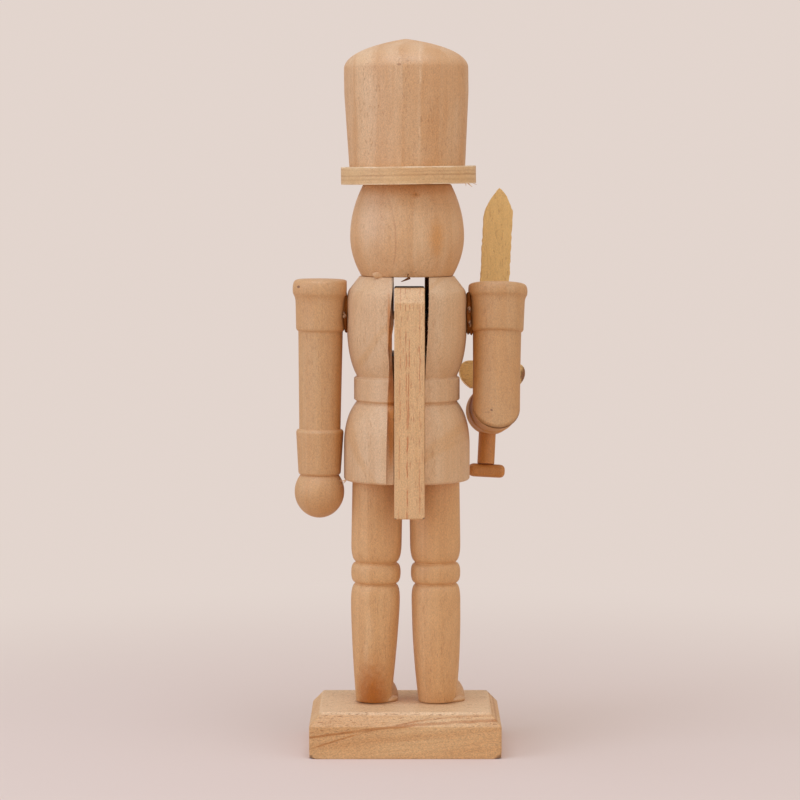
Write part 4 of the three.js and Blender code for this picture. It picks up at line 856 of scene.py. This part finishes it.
def torso_shape(arc=44, wall=5, deep=12, across=9):
    """The torso as level outlines joined upwards. Each outline is four stretches: the left arc from the front
    of the slot round to the groove, the groove's stepped left bank, floor and right bank, the right arc back
    to the front, and the front arc under the slot. Above the slot's floor the two arcs close along the slot's
    walls instead, and a floor joins the groove to the front. The right wall is also given by itself."""
    rows, split = torso_wall()
    r, z = rows[:, :1], rows[:, 1:]
    offset = TORSO_SIDESTEP
    back_left = np.interp(z, EDGE_HEIGHTS, LEFT_EDGE) - offset
    back_right = np.interp(z, EDGE_HEIGHTS, RIGHT_EDGE) - offset
    wall_left = np.interp(z, WALL_HEIGHTS, LEFT_WALL) - offset
    front_left, front_right = LEFT_WALL[1] - offset, FRONT_RIGHT - offset
    relief = RELIEF_LOW + (RELIEF_HIGH - RELIEF_LOW) * np.clip(z / BELT_HIGH, 0, 1)
    relief = np.minimum(relief, np.sqrt(r ** 2 - back_left ** 2) - 0.2)
    share = np.linspace(0, 1, arc)

    def arc_points(first, last, part):
        u = first + (last - first) * part
        return np.stack([r * np.cos(u), r * np.sin(u), np.broadcast_to(z, u.shape)], 2)

    left = arc_points(-np.arccos(front_left / r), np.arccos(back_left / r), share)
    right = arc_points(np.arccos(back_right / r), 2 * math.pi - np.arccos(front_right / r), share)
    front = arc_points(2 * math.pi - np.arccos(front_right / r), 2 * math.pi - np.arccos(front_left / r),
                       np.linspace(0, 1, across))

    def between(a, b, steps):
        t = np.linspace(0, 1, steps)[None, :, None]
        return a[:, None] * (1 - t) + b[:, None] * t

    step_out = np.concatenate([back_left, relief, z], 1)
    step_in = np.concatenate([wall_left, relief, z], 1)
    floor_left = np.concatenate([wall_left, np.full_like(z, GROOVE_FLOOR), z], 1)
    floor_right = np.concatenate([back_right, np.full_like(z, GROOVE_FLOOR), z], 1)
    bank_lines = [left[:, -1], step_out, step_in, floor_left]
    left_bank = [between(a, b, 3) for a, b in zip(bank_lines, bank_lines[1:])]
    right_bank = between(floor_right, right[:, 0], wall)
    floor = between(floor_left, floor_right, across)
    groove = left_bank + [floor, right_bank]
    left_wall = left_bank + [between(floor_left, left[:, 0], deep)]
    right_wall = [between(right[:, -1], floor_right, deep), right_bank]

    def strip(points):
        """Faces over a grid of points whose rows go up and whose columns go round."""
        return points.reshape(-1, 3), grid_faces(*points.shape[:2]).tolist()

    lower = slice(0, split + 1)
    upper = slice(split, None)
    shapes = [strip(left), strip(right), strip(front[lower])]
    shapes += [strip(stretch[lower]) for stretch in groove]
    shapes += [strip(stretch[upper]) for stretch in left_wall + right_wall]
    ledge = between(floor[split], front[split][::-1], deep).transpose(1, 0, 2)
    shapes.append(strip(ledge))
    hem_ring = np.vstack([left[0], *[stretch[0] for stretch in groove], right[0], front[0]])
    shapes.append((hem_ring, [list(range(len(hem_ring)))[::-1]]))
    for arc_top, wall_top in ((left, left_wall), (right, right_wall)):
        ring = np.vstack([arc_top[-1], *[stretch[-1] for stretch in wall_top]])
        shapes.append((ring, [list(range(len(ring)))]))
    points, faces = together(*shapes)
    place = np.array([TORSO_SIDESTEP, 0, HEM])
    # The slot's right wall above its floor, to carry a skin of painted shade.
    slot_shade = np.concatenate([stretch[upper] for stretch in right_wall], 1) + place
    return (points + place, faces), slot_shade


def skin(grid, thickness):
    """A thin skin on a wall: a grid of points and the same grid moved out along +X, joined round the rim."""
    rows, columns = grid.shape[:2]
    index = np.arange(rows * columns).reshape(rows, columns)
    inner = grid_faces(rows, columns)
    rim = np.concatenate([index[0, :-1], index[:-1, -1], index[-1, :0:-1], index[:0:-1, 0]])
    after = np.roll(rim, -1)
    shift = rows * columns
    edge = np.stack([rim, after, after + shift, rim + shift], 1)
    points = np.vstack([grid.reshape(-1, 3), grid.reshape(-1, 3) + [thickness, 0, 0]])
    return points, np.vstack([inner[:, ::-1], inner + shift, edge]).tolist()


torso_surface, slot_shade_wall = torso_shape()
# A thin near-black skin over the slot's right wall: painted shade.
piece("painted_shade_slot_wall", skin(slot_shade_wall[:, 1:-1], SHADE_SKIN_DEPTH), scorch_and_shade)
torso = piece("turned_torso", torso_surface, torso_wood, stands_for=["torso"], weld=True)
ease_edges(torso, 0.28, 2)


# Jaw and lever, one bar with an arm across the slot
LEVER_WIDTH, LEVER_DEPTH, LEVER_LENGTH, LEVER_TOP_DROP, LEVER_SIDESTEP = 10.65, 10.0, 80.7, 3.5, -1.18
MOUTH, JAW_HEIGHT = 6.5, 11.0
JAW_FRONT = -math.sqrt(SHOULDER_RADIUS ** 2 - (SLOT_HALF + abs(SLOT_SIDESTEP)) ** 2)


def lever_outline():
    """The bar and jaw from the side: back distance against height, once round against the clock."""
    top = NECK - LEVER_TOP_DROP
    end = top - LEVER_LENGTH
    inner = LEVER_BACK - LEVER_DEPTH
    jaw_top = NECK - MOUTH
    jaw_low = jaw_top - JAW_HEIGHT
    return np.vstack(
        [
            line((inner, end), (LEVER_BACK, end)),
            bend((LEVER_BACK, top - 5.6), (LEVER_BACK, top - 5.1), (LEVER_BACK - 0.25, top - 4.7), 5),
            bend((LEVER_BACK - 2.6, top - 0.7), (LEVER_BACK - 3.0, top), (LEVER_BACK - 4.2, top), 6),
            line((0, top - 0.1)),
            bend((JAW_FRONT + 1.5, jaw_top), (JAW_FRONT, jaw_top), (JAW_FRONT, jaw_top - 1.5), 9),
            bend((JAW_FRONT, jaw_low + 1.5), (JAW_FRONT, jaw_low), (JAW_FRONT + 1.5, jaw_low), 9),
            bend((inner - 1, jaw_low), (inner, jaw_low), (inner, jaw_low - 1), 9),
        ]
    )


lever_shape = placed(slab(lever_outline(), LEVER_WIDTH), turn(2, 90), (LEVER_SIDESTEP, 0, 0))
lever = piece("jaw_and_lever", lever_shape, lever_wood, body="lever", stands_for=["jaw_lever"])
ease_edges(lever, 0.55, 3)


# Legs and shoes
def leg_profile(ankle, calf_low):
    """Half outline of a leg: tapered calf, rounded to a cut line, knee ring, cut line, rounded thigh."""
    return sanded(
        [
            line((0, 0), (ankle, 0)),
            bend((ankle, 0), (calf_low, 17.0), (8.7, 33.5)),
            line((8.75, 36.5)),
            bend((8.75, 36.5), (8.75, 41.4), (7.5, 42.2), 14),
            line((7.3, 42.45), (7.5, 42.75)),
            bend((7.5, 42.75), (8.85, 43.2), (8.85, 46.4), 14),
            bend((8.85, 46.4), (8.85, 49.5), (7.5, 49.8), 14),
            line((7.3, 50.1), (7.5, 50.4)),
            bend((7.5, 50.4), (8.95, 51.4), (9.0, 56.6), 14),
            line((9.0, LEG_LENGTH), (0, LEG_LENGTH)),
        ],
        0.14,
    )


TOE_LENGTH, TOE_HEIGHT, LEFT_TOE, HEEL_HEIGHT = 11, 8.5, 7.6, 2.1
quarter_turn = np.linspace(0, math.pi / 2, 30)
toe_profile = sanded([line((0, 0)), np.stack([np.cos(quarter_turn), np.sin(quarter_turn)], 1)], 0.02)
heel_profile = sanded(
    [
        line((0, 0), (7.2, 0)),
        bend((7.2, 0), (8.1, 0.8), (6.9, 1.5)),
        bend((6.9, 1.5), (5.4, HEEL_HEIGHT), (4, HEEL_HEIGHT)),
        line((0, HEEL_HEIGHT)),
    ],
    0.12,
)
for side, sign, finish, ankle, calf_low, foot_out, shoe_out, toe_half in (
    ("left", 1, left_leg_wood, 6.25, 8.0, 0.35, -0.9, LEFT_TOE),
    ("right", -1, right_leg_wood, 6.7, 8.7, 0.0, -1.8, 8.2),
):
    lean = math.degrees(LEG_SPLAY + foot_out / LEG_LENGTH)
    foot = np.array([sign * (FOOT_SPACING + foot_out), 0, FOOT])
    leg = turned(leg_profile(ankle, calf_low), LIMB_SIDES, 0.004, sign)
    leg = placed(leg, turn(1, -sign * lean), foot)
    piece(side + "_turned_leg", leg, finish, stands_for=[side + "_leg"])
    toe_points, toe_faces = turned(toe_profile, LIMB_SIDES)
    toe = placed((toe_points * [toe_half, TOE_LENGTH, TOE_HEIGHT], toe_faces), UPRIGHT, (0, -8, 0))
    heel_points, heel_faces = turned(heel_profile, LIMB_SIDES)
    heel = placed((heel_points * [toe_half / LEFT_TOE, 0.8, 1], heel_faces), UPRIGHT, (0, -1.6, 0))
    seat = np.array([sign * FOOT_SPACING + shoe_out, 0, BASE_TOP + GLUE_GAP])
    shoe = placed(together(toe, heel), UPRIGHT, seat)
    piece(side + "_domed_shoe", shoe, shoe_wood, stands_for=[side + "_shoe"])


# Base
BASE_WIDTH, BASE_DEPTH, BEVEL_IN, BEVEL_HEIGHT, BASE_SIDESTEP = 67.5, 53.5, 4.0, 4.6, 0.25
WEAR_REACH, WEAR_IN, WEAR_UP = 1.3, 0.45, 0.35
SCREW_AT = FOOT_SPACING + FOOT * math.tan(LEG_SPLAY)
POCKET_RINGS = np.array([(3.7, 0.0), (3.7, 0.6), (1.9, 2.4), (1.9, 4.0)])


def block_loops(profile, per_side=30, per_corner=5, corner=0.7):
    """Level outlines of a block: rectangles drawn in by the profile's inset, with small round corners."""
    a = np.linspace(0, math.pi / 2, per_corner)
    straight = np.linspace(-1, 1, per_side)[1:-1]
    quarter = np.stack([np.cos(a), np.sin(a)], 1)
    inset, height = profile[:, :1], profile[:, 1]
    half = np.array([BASE_WIDTH / 2, BASE_DEPTH / 2])
    loops = []
    for k in range(4):
        c, s = round(math.cos(k * math.pi / 2)), round(math.sin(k * math.pi / 2))
        spin = np.array([[c, s], [-s, c]])
        size = half if k % 2 == 0 else half[::-1]
        reach = size - inset - corner
        arc = reach[:, None] + corner * quarter[None]
        along = -reach[:, :1] * straight
        run = np.stack([along, np.broadcast_to(reach[:, 1:] + corner, along.shape)], 2)
        loops.append(np.concatenate([arc, run], 1) @ spin)
    flat = np.concatenate(loops, 1)
    level = np.broadcast_to(height[:, None, None], (*flat.shape[:2], 1))
    return np.concatenate([flat, level], 2)


def base_shape():
    """The base: outlines joined upwards from inside the underside, round its edges and in over the top. Its
    lower corners are worn: points near them draw in towards the middle."""
    side = line((9, 0), (0, 0), (0, BASE_TOP - BEVEL_HEIGHT), (BEVEL_IN, BASE_TOP), (12, BASE_TOP))
    loops = block_loops(sanded([side], 0.13, on_axis=False))
    corner = np.abs(loops) - [BASE_WIDTH / 2, BASE_DEPTH / 2, 0]
    wear = np.exp(-(np.linalg.norm(corner, axis=2) / WEAR_REACH) ** 2)
    loops[..., :2] -= WEAR_IN * np.sign(loops[..., :2]) * wear[..., None]
    loops[..., 2] += WEAR_UP * wear
    rows, sides = loops.shape[:2]
    points = loops.reshape(-1, 3) + [BASE_SIDESTEP, 0, 0]
    top = [(np.arange(sides) + (rows - 1) * sides).tolist()]
    return points, band(rows, sides) + top


def pocket(x, sides=32):
    """A countersunk hole from below: rings of falling radius, closed at its upper end."""
    u = np.linspace(0, 2 * math.pi, sides, endpoint=False)
    radius, height = POCKET_RINGS[:, :1], POCKET_RINGS[:, 1:]
    rings = np.stack([x + radius * np.cos(u), radius * np.sin(u), height + 0 * u], 2)
    walls = [face[::-1] for face in band(len(radius), sides)]
    lid = (np.arange(sides) + (len(radius) - 1) * sides)[::-1].tolist()
    return rings.reshape(-1, 3), walls + [lid]


def lay_base():
    """The base with its screw holes: the underside is filled between its outline and the two hole mouths."""
    shape = together(base_shape(), pocket(SCREW_AT), pocket(-SCREW_AT))
    block = piece("bevelled_base", shape, base_wood, stands_for=["base"])
    work = bmesh.new()
    work.from_mesh(block.data)
    open_edges = [edge for edge in work.edges if edge.is_boundary]
    filled = bmesh.ops.triangle_fill(work, edges=open_edges, use_beauty=True, use_dissolve=False)
    new_faces = [item for item in filled["geom"] if isinstance(item, bmesh.types.BMFace)]
    bmesh.ops.reverse_faces(work, faces=[face for face in new_faces if face.normal.z > 0])
    work.to_mesh(block.data)
    work.free()


lay_base()

# Straight left arm: cap, sleeve, arm, cuff and hand
LEFT_ARM_FLAT = -9.15
CUFF_TOP = -41.1
WRIST = CUFF_TOP - 16.2
SLEEVE_TOP, CAP_TOP = 4.4, 12.4
left_arm_profile = sanded(
    [
        ellipse_arc((0, WRIST - HAND_RISE), (HAND_RADIUS + 0.05, HAND_HALF + 0.2), -math.pi / 2, WRIST_ANGLE),
        line((7.2, WRIST + 0.15), (7.55, WRIST + 0.8), (8.45, CUFF_TOP - 0.8), (8.0, CUFF_TOP),
             (7.35, CUFF_TOP + 0.05), (7.9, -6.0), (8.3, -5.9), (8.7, -5.2), (8.95, SLEEVE_TOP)),
        bend((8.95, SLEEVE_TOP), (9.05, 6.0), (9.85, 7.2), 12),
        bend((9.85, 7.2), (10.25, 9.2), (9.7, 11.1), 12),
        bend((9.7, 11.1), (9.3, 12.3), (7.4, CAP_TOP - 0.05), 12),
        line((0, CAP_TOP)),
    ],
    0.22,
)
left_arm_points, left_arm_faces = turned(left_arm_profile, LIMB_SIDES, 0.003, 0.6)
left_arm_points[:, 0] = np.maximum(left_arm_points[:, 0], LEFT_ARM_FLAT)
left_arm = placed((left_arm_points, left_arm_faces), turn(1, -0.5), LEFT_ARM_AT)
piece("straight_left_arm", left_arm, left_arm_wood, stands_for=["left_arm"])

# Bent right arm, each half cut to the mitre at the elbow
STEM_TOP = 12.0 - ELBOW_DROP
MITRE_HALF, MITRE_SLOPE = 0.2, 1.0
RIGHT_ARM_FLAT = 10.2
UPPER_ARM_LEAN = -0.7
upper_arm_profile = sanded(
    [
        line((ELBOW_RADIUS, STEM_TOP), (8.6, -6.4), (9.0, -6.3), (9.4, -5.6), (9.75, SLEEVE_TOP)),
        bend((9.75, SLEEVE_TOP), (9.85, 5.8), (10.5, 6.6), 12),
        bend((10.5, 6.6), (10.95, 8.4), (10.35, 9.9), 12),
        bend((10.35, 9.9), (9.9, 10.9), (8.0, 10.95), 12),
        line((0, 11.0)),
    ],
    0.2,
    on_axis=False,
)
upper_arm_profile[-1, 0] = 0
upper_points, upper_faces = mitred(
    upper_arm_profile, LIMB_SIDES, STEM_TOP, -MITRE_SLOPE, -ELBOW_DROP + MITRE_HALF
)
upper_points[:, 0] = np.minimum(upper_points[:, 0], RIGHT_ARM_FLAT)
from_elbow = placed((upper_points, upper_faces), UPRIGHT, (0, 0, ELBOW_DROP))
upper_arm = placed(from_elbow, RIGHT_ARM_TURN @ turn(1, UPPER_ARM_LEAN), ELBOW)
piece("bent_upper_arm", upper_arm, right_arm_wood, stands_for=["right_upper_arm"])

CUFF_RADIUS, FOREARM_STEM = 8.8, 11.0
forearm_profile = sanded(
    [
        line((ELBOW_RADIUS, FOREARM_STEM), (ELBOW_RADIUS, FOREARM), (CUFF_RADIUS - 1.2, FOREARM)),
        bend((CUFF_RADIUS - 1.2, FOREARM), (CUFF_RADIUS, FOREARM), (CUFF_RADIUS, FOREARM + 1.6), 12),
        line((CUFF_RADIUS, FOREARM + CUFF - 1.6), (WRIST_RADIUS + 0.6, FOREARM + CUFF - 0.2)),
        ellipse_arc((0, HAND_REACH), (HAND_RADIUS, HAND_HALF), -WRIST_ANGLE, math.pi / 2),
    ],
    0.2,
    on_axis=False,
)
forearm_profile[-1, 0] = 0
forearm = mitred(forearm_profile, LIMB_SIDES, FOREARM_STEM, MITRE_SLOPE, MITRE_HALF)
forearm = placed(forearm, FOREARM_TURN @ FORWARD, ELBOW)
piece("bent_forearm", forearm, forearm_wood, stands_for=["right_forearm"])

# Sword
GUARD_MIDDLE, GUARD_TOP, GUARD_HALF, GUARD_ROUND, GUARD_THICKNESS = 14.1, 17.8, 11.9, 4, 5
GUARD_ARC = ((0, GUARD_MIDDLE), (GUARD_HALF, 8))
GUARD_FLAT = 0.886
GUARD_SIDESTEP = np.array([-0.6, 0, 0])
guard_in = GUARD_HALF - GUARD_ROUND
guard_outline = np.vstack(
    [
        bend((GUARD_HALF, GUARD_MIDDLE), (GUARD_HALF, GUARD_TOP), (guard_in, GUARD_TOP), 10),
        bend((-guard_in, GUARD_TOP), (-GUARD_HALF, GUARD_TOP), (-GUARD_HALF, GUARD_MIDDLE), 10)[:-1],
        ellipse_arc(*GUARD_ARC, math.pi, math.pi + GUARD_FLAT, 12),
        ellipse_arc(*GUARD_ARC, 2 * math.pi - GUARD_FLAT, 2 * math.pi, 12)[:-1],
    ]
)
guard_shape = placed(slab(guard_outline, GUARD_THICKNESS), SWORD_TURN, SWORD_AT + GUARD_SIDESTEP)
guard = piece("sword_hand_guard", guard_shape, guard_wood_painted_light, stands_for=["sword_guard"])
ease_edges(guard, 0.3, 2)

BLADE_LOW, BLADE_LENGTH, BLADE_HALF, BLADE_THICKNESS = GUARD_TOP - 4.5, 68.4, 5.3, 2.2
BLADE_TIP = BLADE_LOW + BLADE_LENGTH
blade_outline = np.vstack(
    [
        line((-BLADE_HALF, BLADE_LOW), (BLADE_HALF, BLADE_LOW)),
        bend((BLADE_HALF, BLADE_TIP - 10.5), (3.8, BLADE_TIP - 4.2), (-0.1, BLADE_TIP), 12),
        bend((-0.1, BLADE_TIP), (-3.2, BLADE_TIP - 2.6), (-BLADE_HALF, BLADE_TIP - 8.5), 12)[1:],
    ]
)


def rough_edge(outline, step, depth, seed):
    """An outline walked in even steps, each point moved in or out by a small drawn amount."""
    closed = np.vstack([outline, outline[:1]])
    run = way_along(closed)
    points = read_off(np.arange(0, run[-1], step), run, closed)
    ahead = np.roll(points, -1, 0) - np.roll(points, 1, 0)
    outward = np.stack([ahead[:, 1], -ahead[:, 0]], 1) / np.hypot(*ahead.T)[:, None]
    drawn = np.random.default_rng(seed).normal(0, depth, len(points))
    return points + outward * np.clip(drawn, -2 * depth, 2 * depth)[:, None]


blade_shape = placed(slab(rough_edge(blade_outline, 1.1, 0.1, 21), BLADE_THICKNESS), SWORD_TURN, SWORD_AT)
blade = piece("sword_stick_blade", blade_shape, stick_wood, stands_for=["sword_blade"])
ease_edges(blade, 0.2, 2, 50)

GRIP_RADIUS, GRIP_END, GRIP_TOP, BAR_RADIUS = 3.1, -19.3, 7.85, 2.4
grip_line = line((0, GRIP_END), (GRIP_RADIUS, GRIP_END), (GRIP_RADIUS, GRIP_TOP), (0, GRIP_TOP))
grip = placed(turned(sanded([grip_line], 0.15), ROD_SIDES), SWORD_TURN, SWORD_AT)
piece("sword_round_grip", grip, grip_wood_painted_shade, stands_for=["sword_grip"])
pommel_profile = sanded(
    [
        line((0, -7.0), (0.5, -7.0)),
        bend((0.5, -7.0), (BAR_RADIUS, -7.0), (BAR_RADIUS, -4.8)),
        bend((BAR_RADIUS, 4.0), (BAR_RADIUS, 6.2), (0.5, 6.2)),
        line((0, 6.2)),
    ],
    0.12,
)
pommel = placed(turned(pommel_profile, ROD_SIDES), turn(1, 90), (0, 0, GRIP_END - GLUE_GAP - BAR_RADIUS))
piece("sword_bar_pommel", placed(pommel, SWORD_TURN, SWORD_AT), grip_wood_painted_shade, stands_for=["sword_pommel"])

# Splinters at the hem and under the head, dried glue at the head and the shoulders, and dark glue with
# painted shade in the shoulder gaps
hem_splinters = threads([
    ((21.4, 6.0, 0.4), (22.6, 6.2, -0.2), (23.6, 6.4, 0.2), 0.25),
    ((21.2, 7.0, 0.4), (22.0, 7.4, -0.6), (22.6, 7.4, -1.0), 0.2),
], HEM)
piece("hem_splinters", hem_splinters, torso_wood)


FIBRE_RADIUS = 0.1


def edge_fibres(count=26, seed=4):
    """Short fibres standing out of the groove's right edge, drawn along its upper half. Each has its root on
    the edge, and its tip and its control point are drawn about it."""
    draw = np.random.default_rng(seed)

    def about(x, y, spread):
        return np.stack([draw.uniform(*x, count), draw.uniform(*y, count), draw.normal(0, spread, count)], 1)

    heights = np.sort(draw.uniform(45, 67, count))
    radius = np.interp(heights, [45, 50, 56, 67], [20.0, 21.0, SHOULDER_RADIUS, 20.7])
    across = np.interp(heights, EDGE_HEIGHTS, RIGHT_EDGE)
    depth = np.sqrt(radius ** 2 - across ** 2) - 0.5
    root = np.stack([across - 0.25, depth, heights + HEM], 1)
    tip = root + about((0.35, 0.7), (0.3, 0.9), 0.7)
    middle = root + about((0.1, 0.4), (0.2, 0.6), 0.4)
    return together(*[tapered_thread(bend(*path, 6), FIBRE_RADIUS, 6) for path in zip(root, middle, tip)])


piece("slot_edge_fibres", edge_fibres(), torso_wood)
head_splinters = threads([
    ((-0.7, 16.6, 1.1), (-0.6, 20.4, 1.3), (-0.5, 20.3, -0.5), 0.22),
    ((-1.3, 20.2, 0.1), (-0.2, 20.4, -0.5), (1.8, 20.5, -1.3), 0.55),
], HEAD_SEAT, 12)
piece("head_splinters", head_splinters, scorch_and_shade)
piece("head_glue_drop", lumps([((9.7, 13.75, 0.8), (2.1, 0.55, 1.2), 31)], HEAD_SEAT, 0.04), head_wood)
shoulder_drops = lumps([
    ((21.7, 5.4, -0.5), (0.5, 0.6, 0.8), 3),
    ((22.0, 5.0, 0.6), (0.35, 0.4, 0.45), 5),
    ((-22.4, 5.2, 1.8), (0.5, 0.6, 1.1), 8),
    ((-22.6, 4.6, -3.2), (0.4, 0.5, 1.2), 13),
], SHOULDER)
piece("shoulder_glue", shoulder_drops, glue)
# Glue filling the gaps between the arms and the torso, its dark colour partly painted shade.
gap_glue_and_shade = lumps([
    ((21.35, 1.5, 0.7), (0.95, 3.0, 7.2), 17),
    ((-22.15, 1.5, 0.4), (1.35, 3.0, 7.4), 19),
    ((-22.0, 2.4, -4.6), (0.55, 1.0, 2.6), 23),
    ((-23.2, 2.4, -5.2), (0.6, 1.0, 2.2), 29),
], SHOULDER, 0.12)
piece("shoulder_glue_and_gap_shade", gap_glue_and_shade, glue_and_gap_shade)

# Solids that stay as they are
for finish, nodes in (
    (steel, ("left_base_screw", "right_base_screw", "elbow_brad")),
    (dull_wire, ("pivot_pin",)),
    (dowel_wood_and_gap_shade, ("left_neck_dowel", "right_neck_dowel", "hat_dowel")),
    # The shoulder dowels show in the gaps, and their dark colour is partly painted shade.
    (dowel_wood_and_gap_shade, ("left_shoulder_dowel", "right_shoulder_dowel")),
):
    for node in nodes:
        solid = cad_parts[node]
        solid.data.materials.clear()
        solid.data.materials.append(finish)

# Studio: a pale floor that fades into the backdrop colour, a broad soft key and an even surround
BACKDROP = (0.765, 0.665, 0.615)
FLOOR_RADIUS, FLOOR_SIDES, FLOOR_DROP, FADE_FROM, FADE_TO = 9000, 96, 0.05, 80, 420


def studio_floor():
    """A wide flat disc: matt and pale near the figure, where it takes the shadow, and the backdrop's own
    colour further off for what the camera sees."""
    u = np.linspace(0, 2 * math.pi, FLOOR_SIDES, endpoint=False)
    ring = np.stack([FLOOR_RADIUS * np.cos(u), FLOOR_RADIUS * np.sin(u), 0 * u - FLOOR_DROP], 1)
    mesh = bpy.data.meshes.new("studio_floor")
    mesh.from_pydata((ring * MM).tolist(), [], [list(range(FLOOR_SIDES))])
    floor = bpy.data.objects.new("studio_floor", mesh)
    bpy.context.scene.collection.objects.link(floor)
    finish, w, shader, in_mm = new_finish("studio_floor")
    shader.inputs["Base Color"].default_value = (0.755, 0.58, 0.465, 1)
    shader.inputs["Roughness"].default_value = 0.9
    shader.inputs["Specular IOR Level"].default_value = 0.1
    far = w.between(w.vector("LENGTH", in_mm), FADE_FROM, FADE_TO)
    seen = w.node("ShaderNodeLightPath").outputs["Is Camera Ray"]
    glow = w.node("ShaderNodeEmission", Color=(*BACKDROP, 1), Strength=1.0)
    blend = w.node("ShaderNodeMixShader")
    w.feed(blend.inputs[0], w.math("MULTIPLY", far, seen))
    w.feed(blend.inputs[1], shader.outputs[0])
    w.feed(blend.inputs[2], glow.outputs[0])
    w.feed(w.tree.nodes["Material Output"].inputs["Surface"], blend.outputs[0])
    mesh.materials.append(finish)


def studio_surround():
    """The world: an even white light, which the camera and mirrors see as the backdrop's colour."""
    world = bpy.data.worlds.new("studio")
    world.use_nodes = True
    w = Wires(world.node_tree)
    light = world.node_tree.nodes["Background"]
    path = w.node("ShaderNodeLightPath").outputs
    mirrored = w.math("MAXIMUM", path["Is Glossy Ray"], path["Is Transmission Ray"])
    seen = w.math("MAXIMUM", path["Is Camera Ray"], mirrored)
    w.feed(light.inputs["Color"], w.mix(seen, (1.0, 0.94, 0.87, 1), (*BACKDROP, 1)))
    w.feed(light.inputs["Strength"], w.between(seen, 0, 1, 0.5, 1.0, smooth=False))
    bpy.context.scene.world = world


def soft_box(name, at, aim, size, watts, tint):
    """A square lamp that looks at a point."""
    lamp = bpy.data.lights.new(name, "AREA")
    lamp.shape = "SQUARE"
    lamp.size = size
    lamp.energy = watts
    lamp.color = tint
    holder = bpy.data.objects.new(name, lamp)
    holder.location = at
    way = np.asarray(aim) - np.asarray(at)
    flat = math.hypot(way[0], way[1])
    holder.rotation_euler = (math.atan2(flat, -way[2]), 0, math.atan2(-way[0], way[1]))
    bpy.context.scene.collection.objects.link(holder)


studio_floor()
studio_surround()
soft_box("key", (1.3, 0.7, 0.6), (0, 0, 0.13), 1.2, 7.4, (0.79, 1.0, 1.4))
soft_box("top", (0.1, 0.4, 1.6), (0, 0, 0.1), 1.3, 13.5, (0.79, 1.0, 1.42))
soft_box("fill", (-1.25, 1.0, 0.45), (0, 0, 0.12), 1.4, 5.4, (0.9, 1.0, 1.16))

# Camera behind the figure, at the height of its hat and a little turned down
SENSOR_WIDTH, PICTURE_WIDTH, FOCAL_PIXELS, CAMERA_DIP = 36, 800, 3100, 4.5
lens = bpy.data.cameras.new("camera")
lens.sensor_width = SENSOR_WIDTH
lens.lens = SENSOR_WIDTH * FOCAL_PIXELS / PICTURE_WIDTH
camera = bpy.data.objects.new("camera", lens)
camera.location = (0.00213, 1.1, 0.2107)
camera.rotation_euler = (math.radians(90 - CAMERA_DIP), 0, math.pi)
bpy.context.scene.collection.objects.link(camera)
bpy.context.scene.camera = camera
bpy.context.scene.view_settings.view_transform = "Standard"
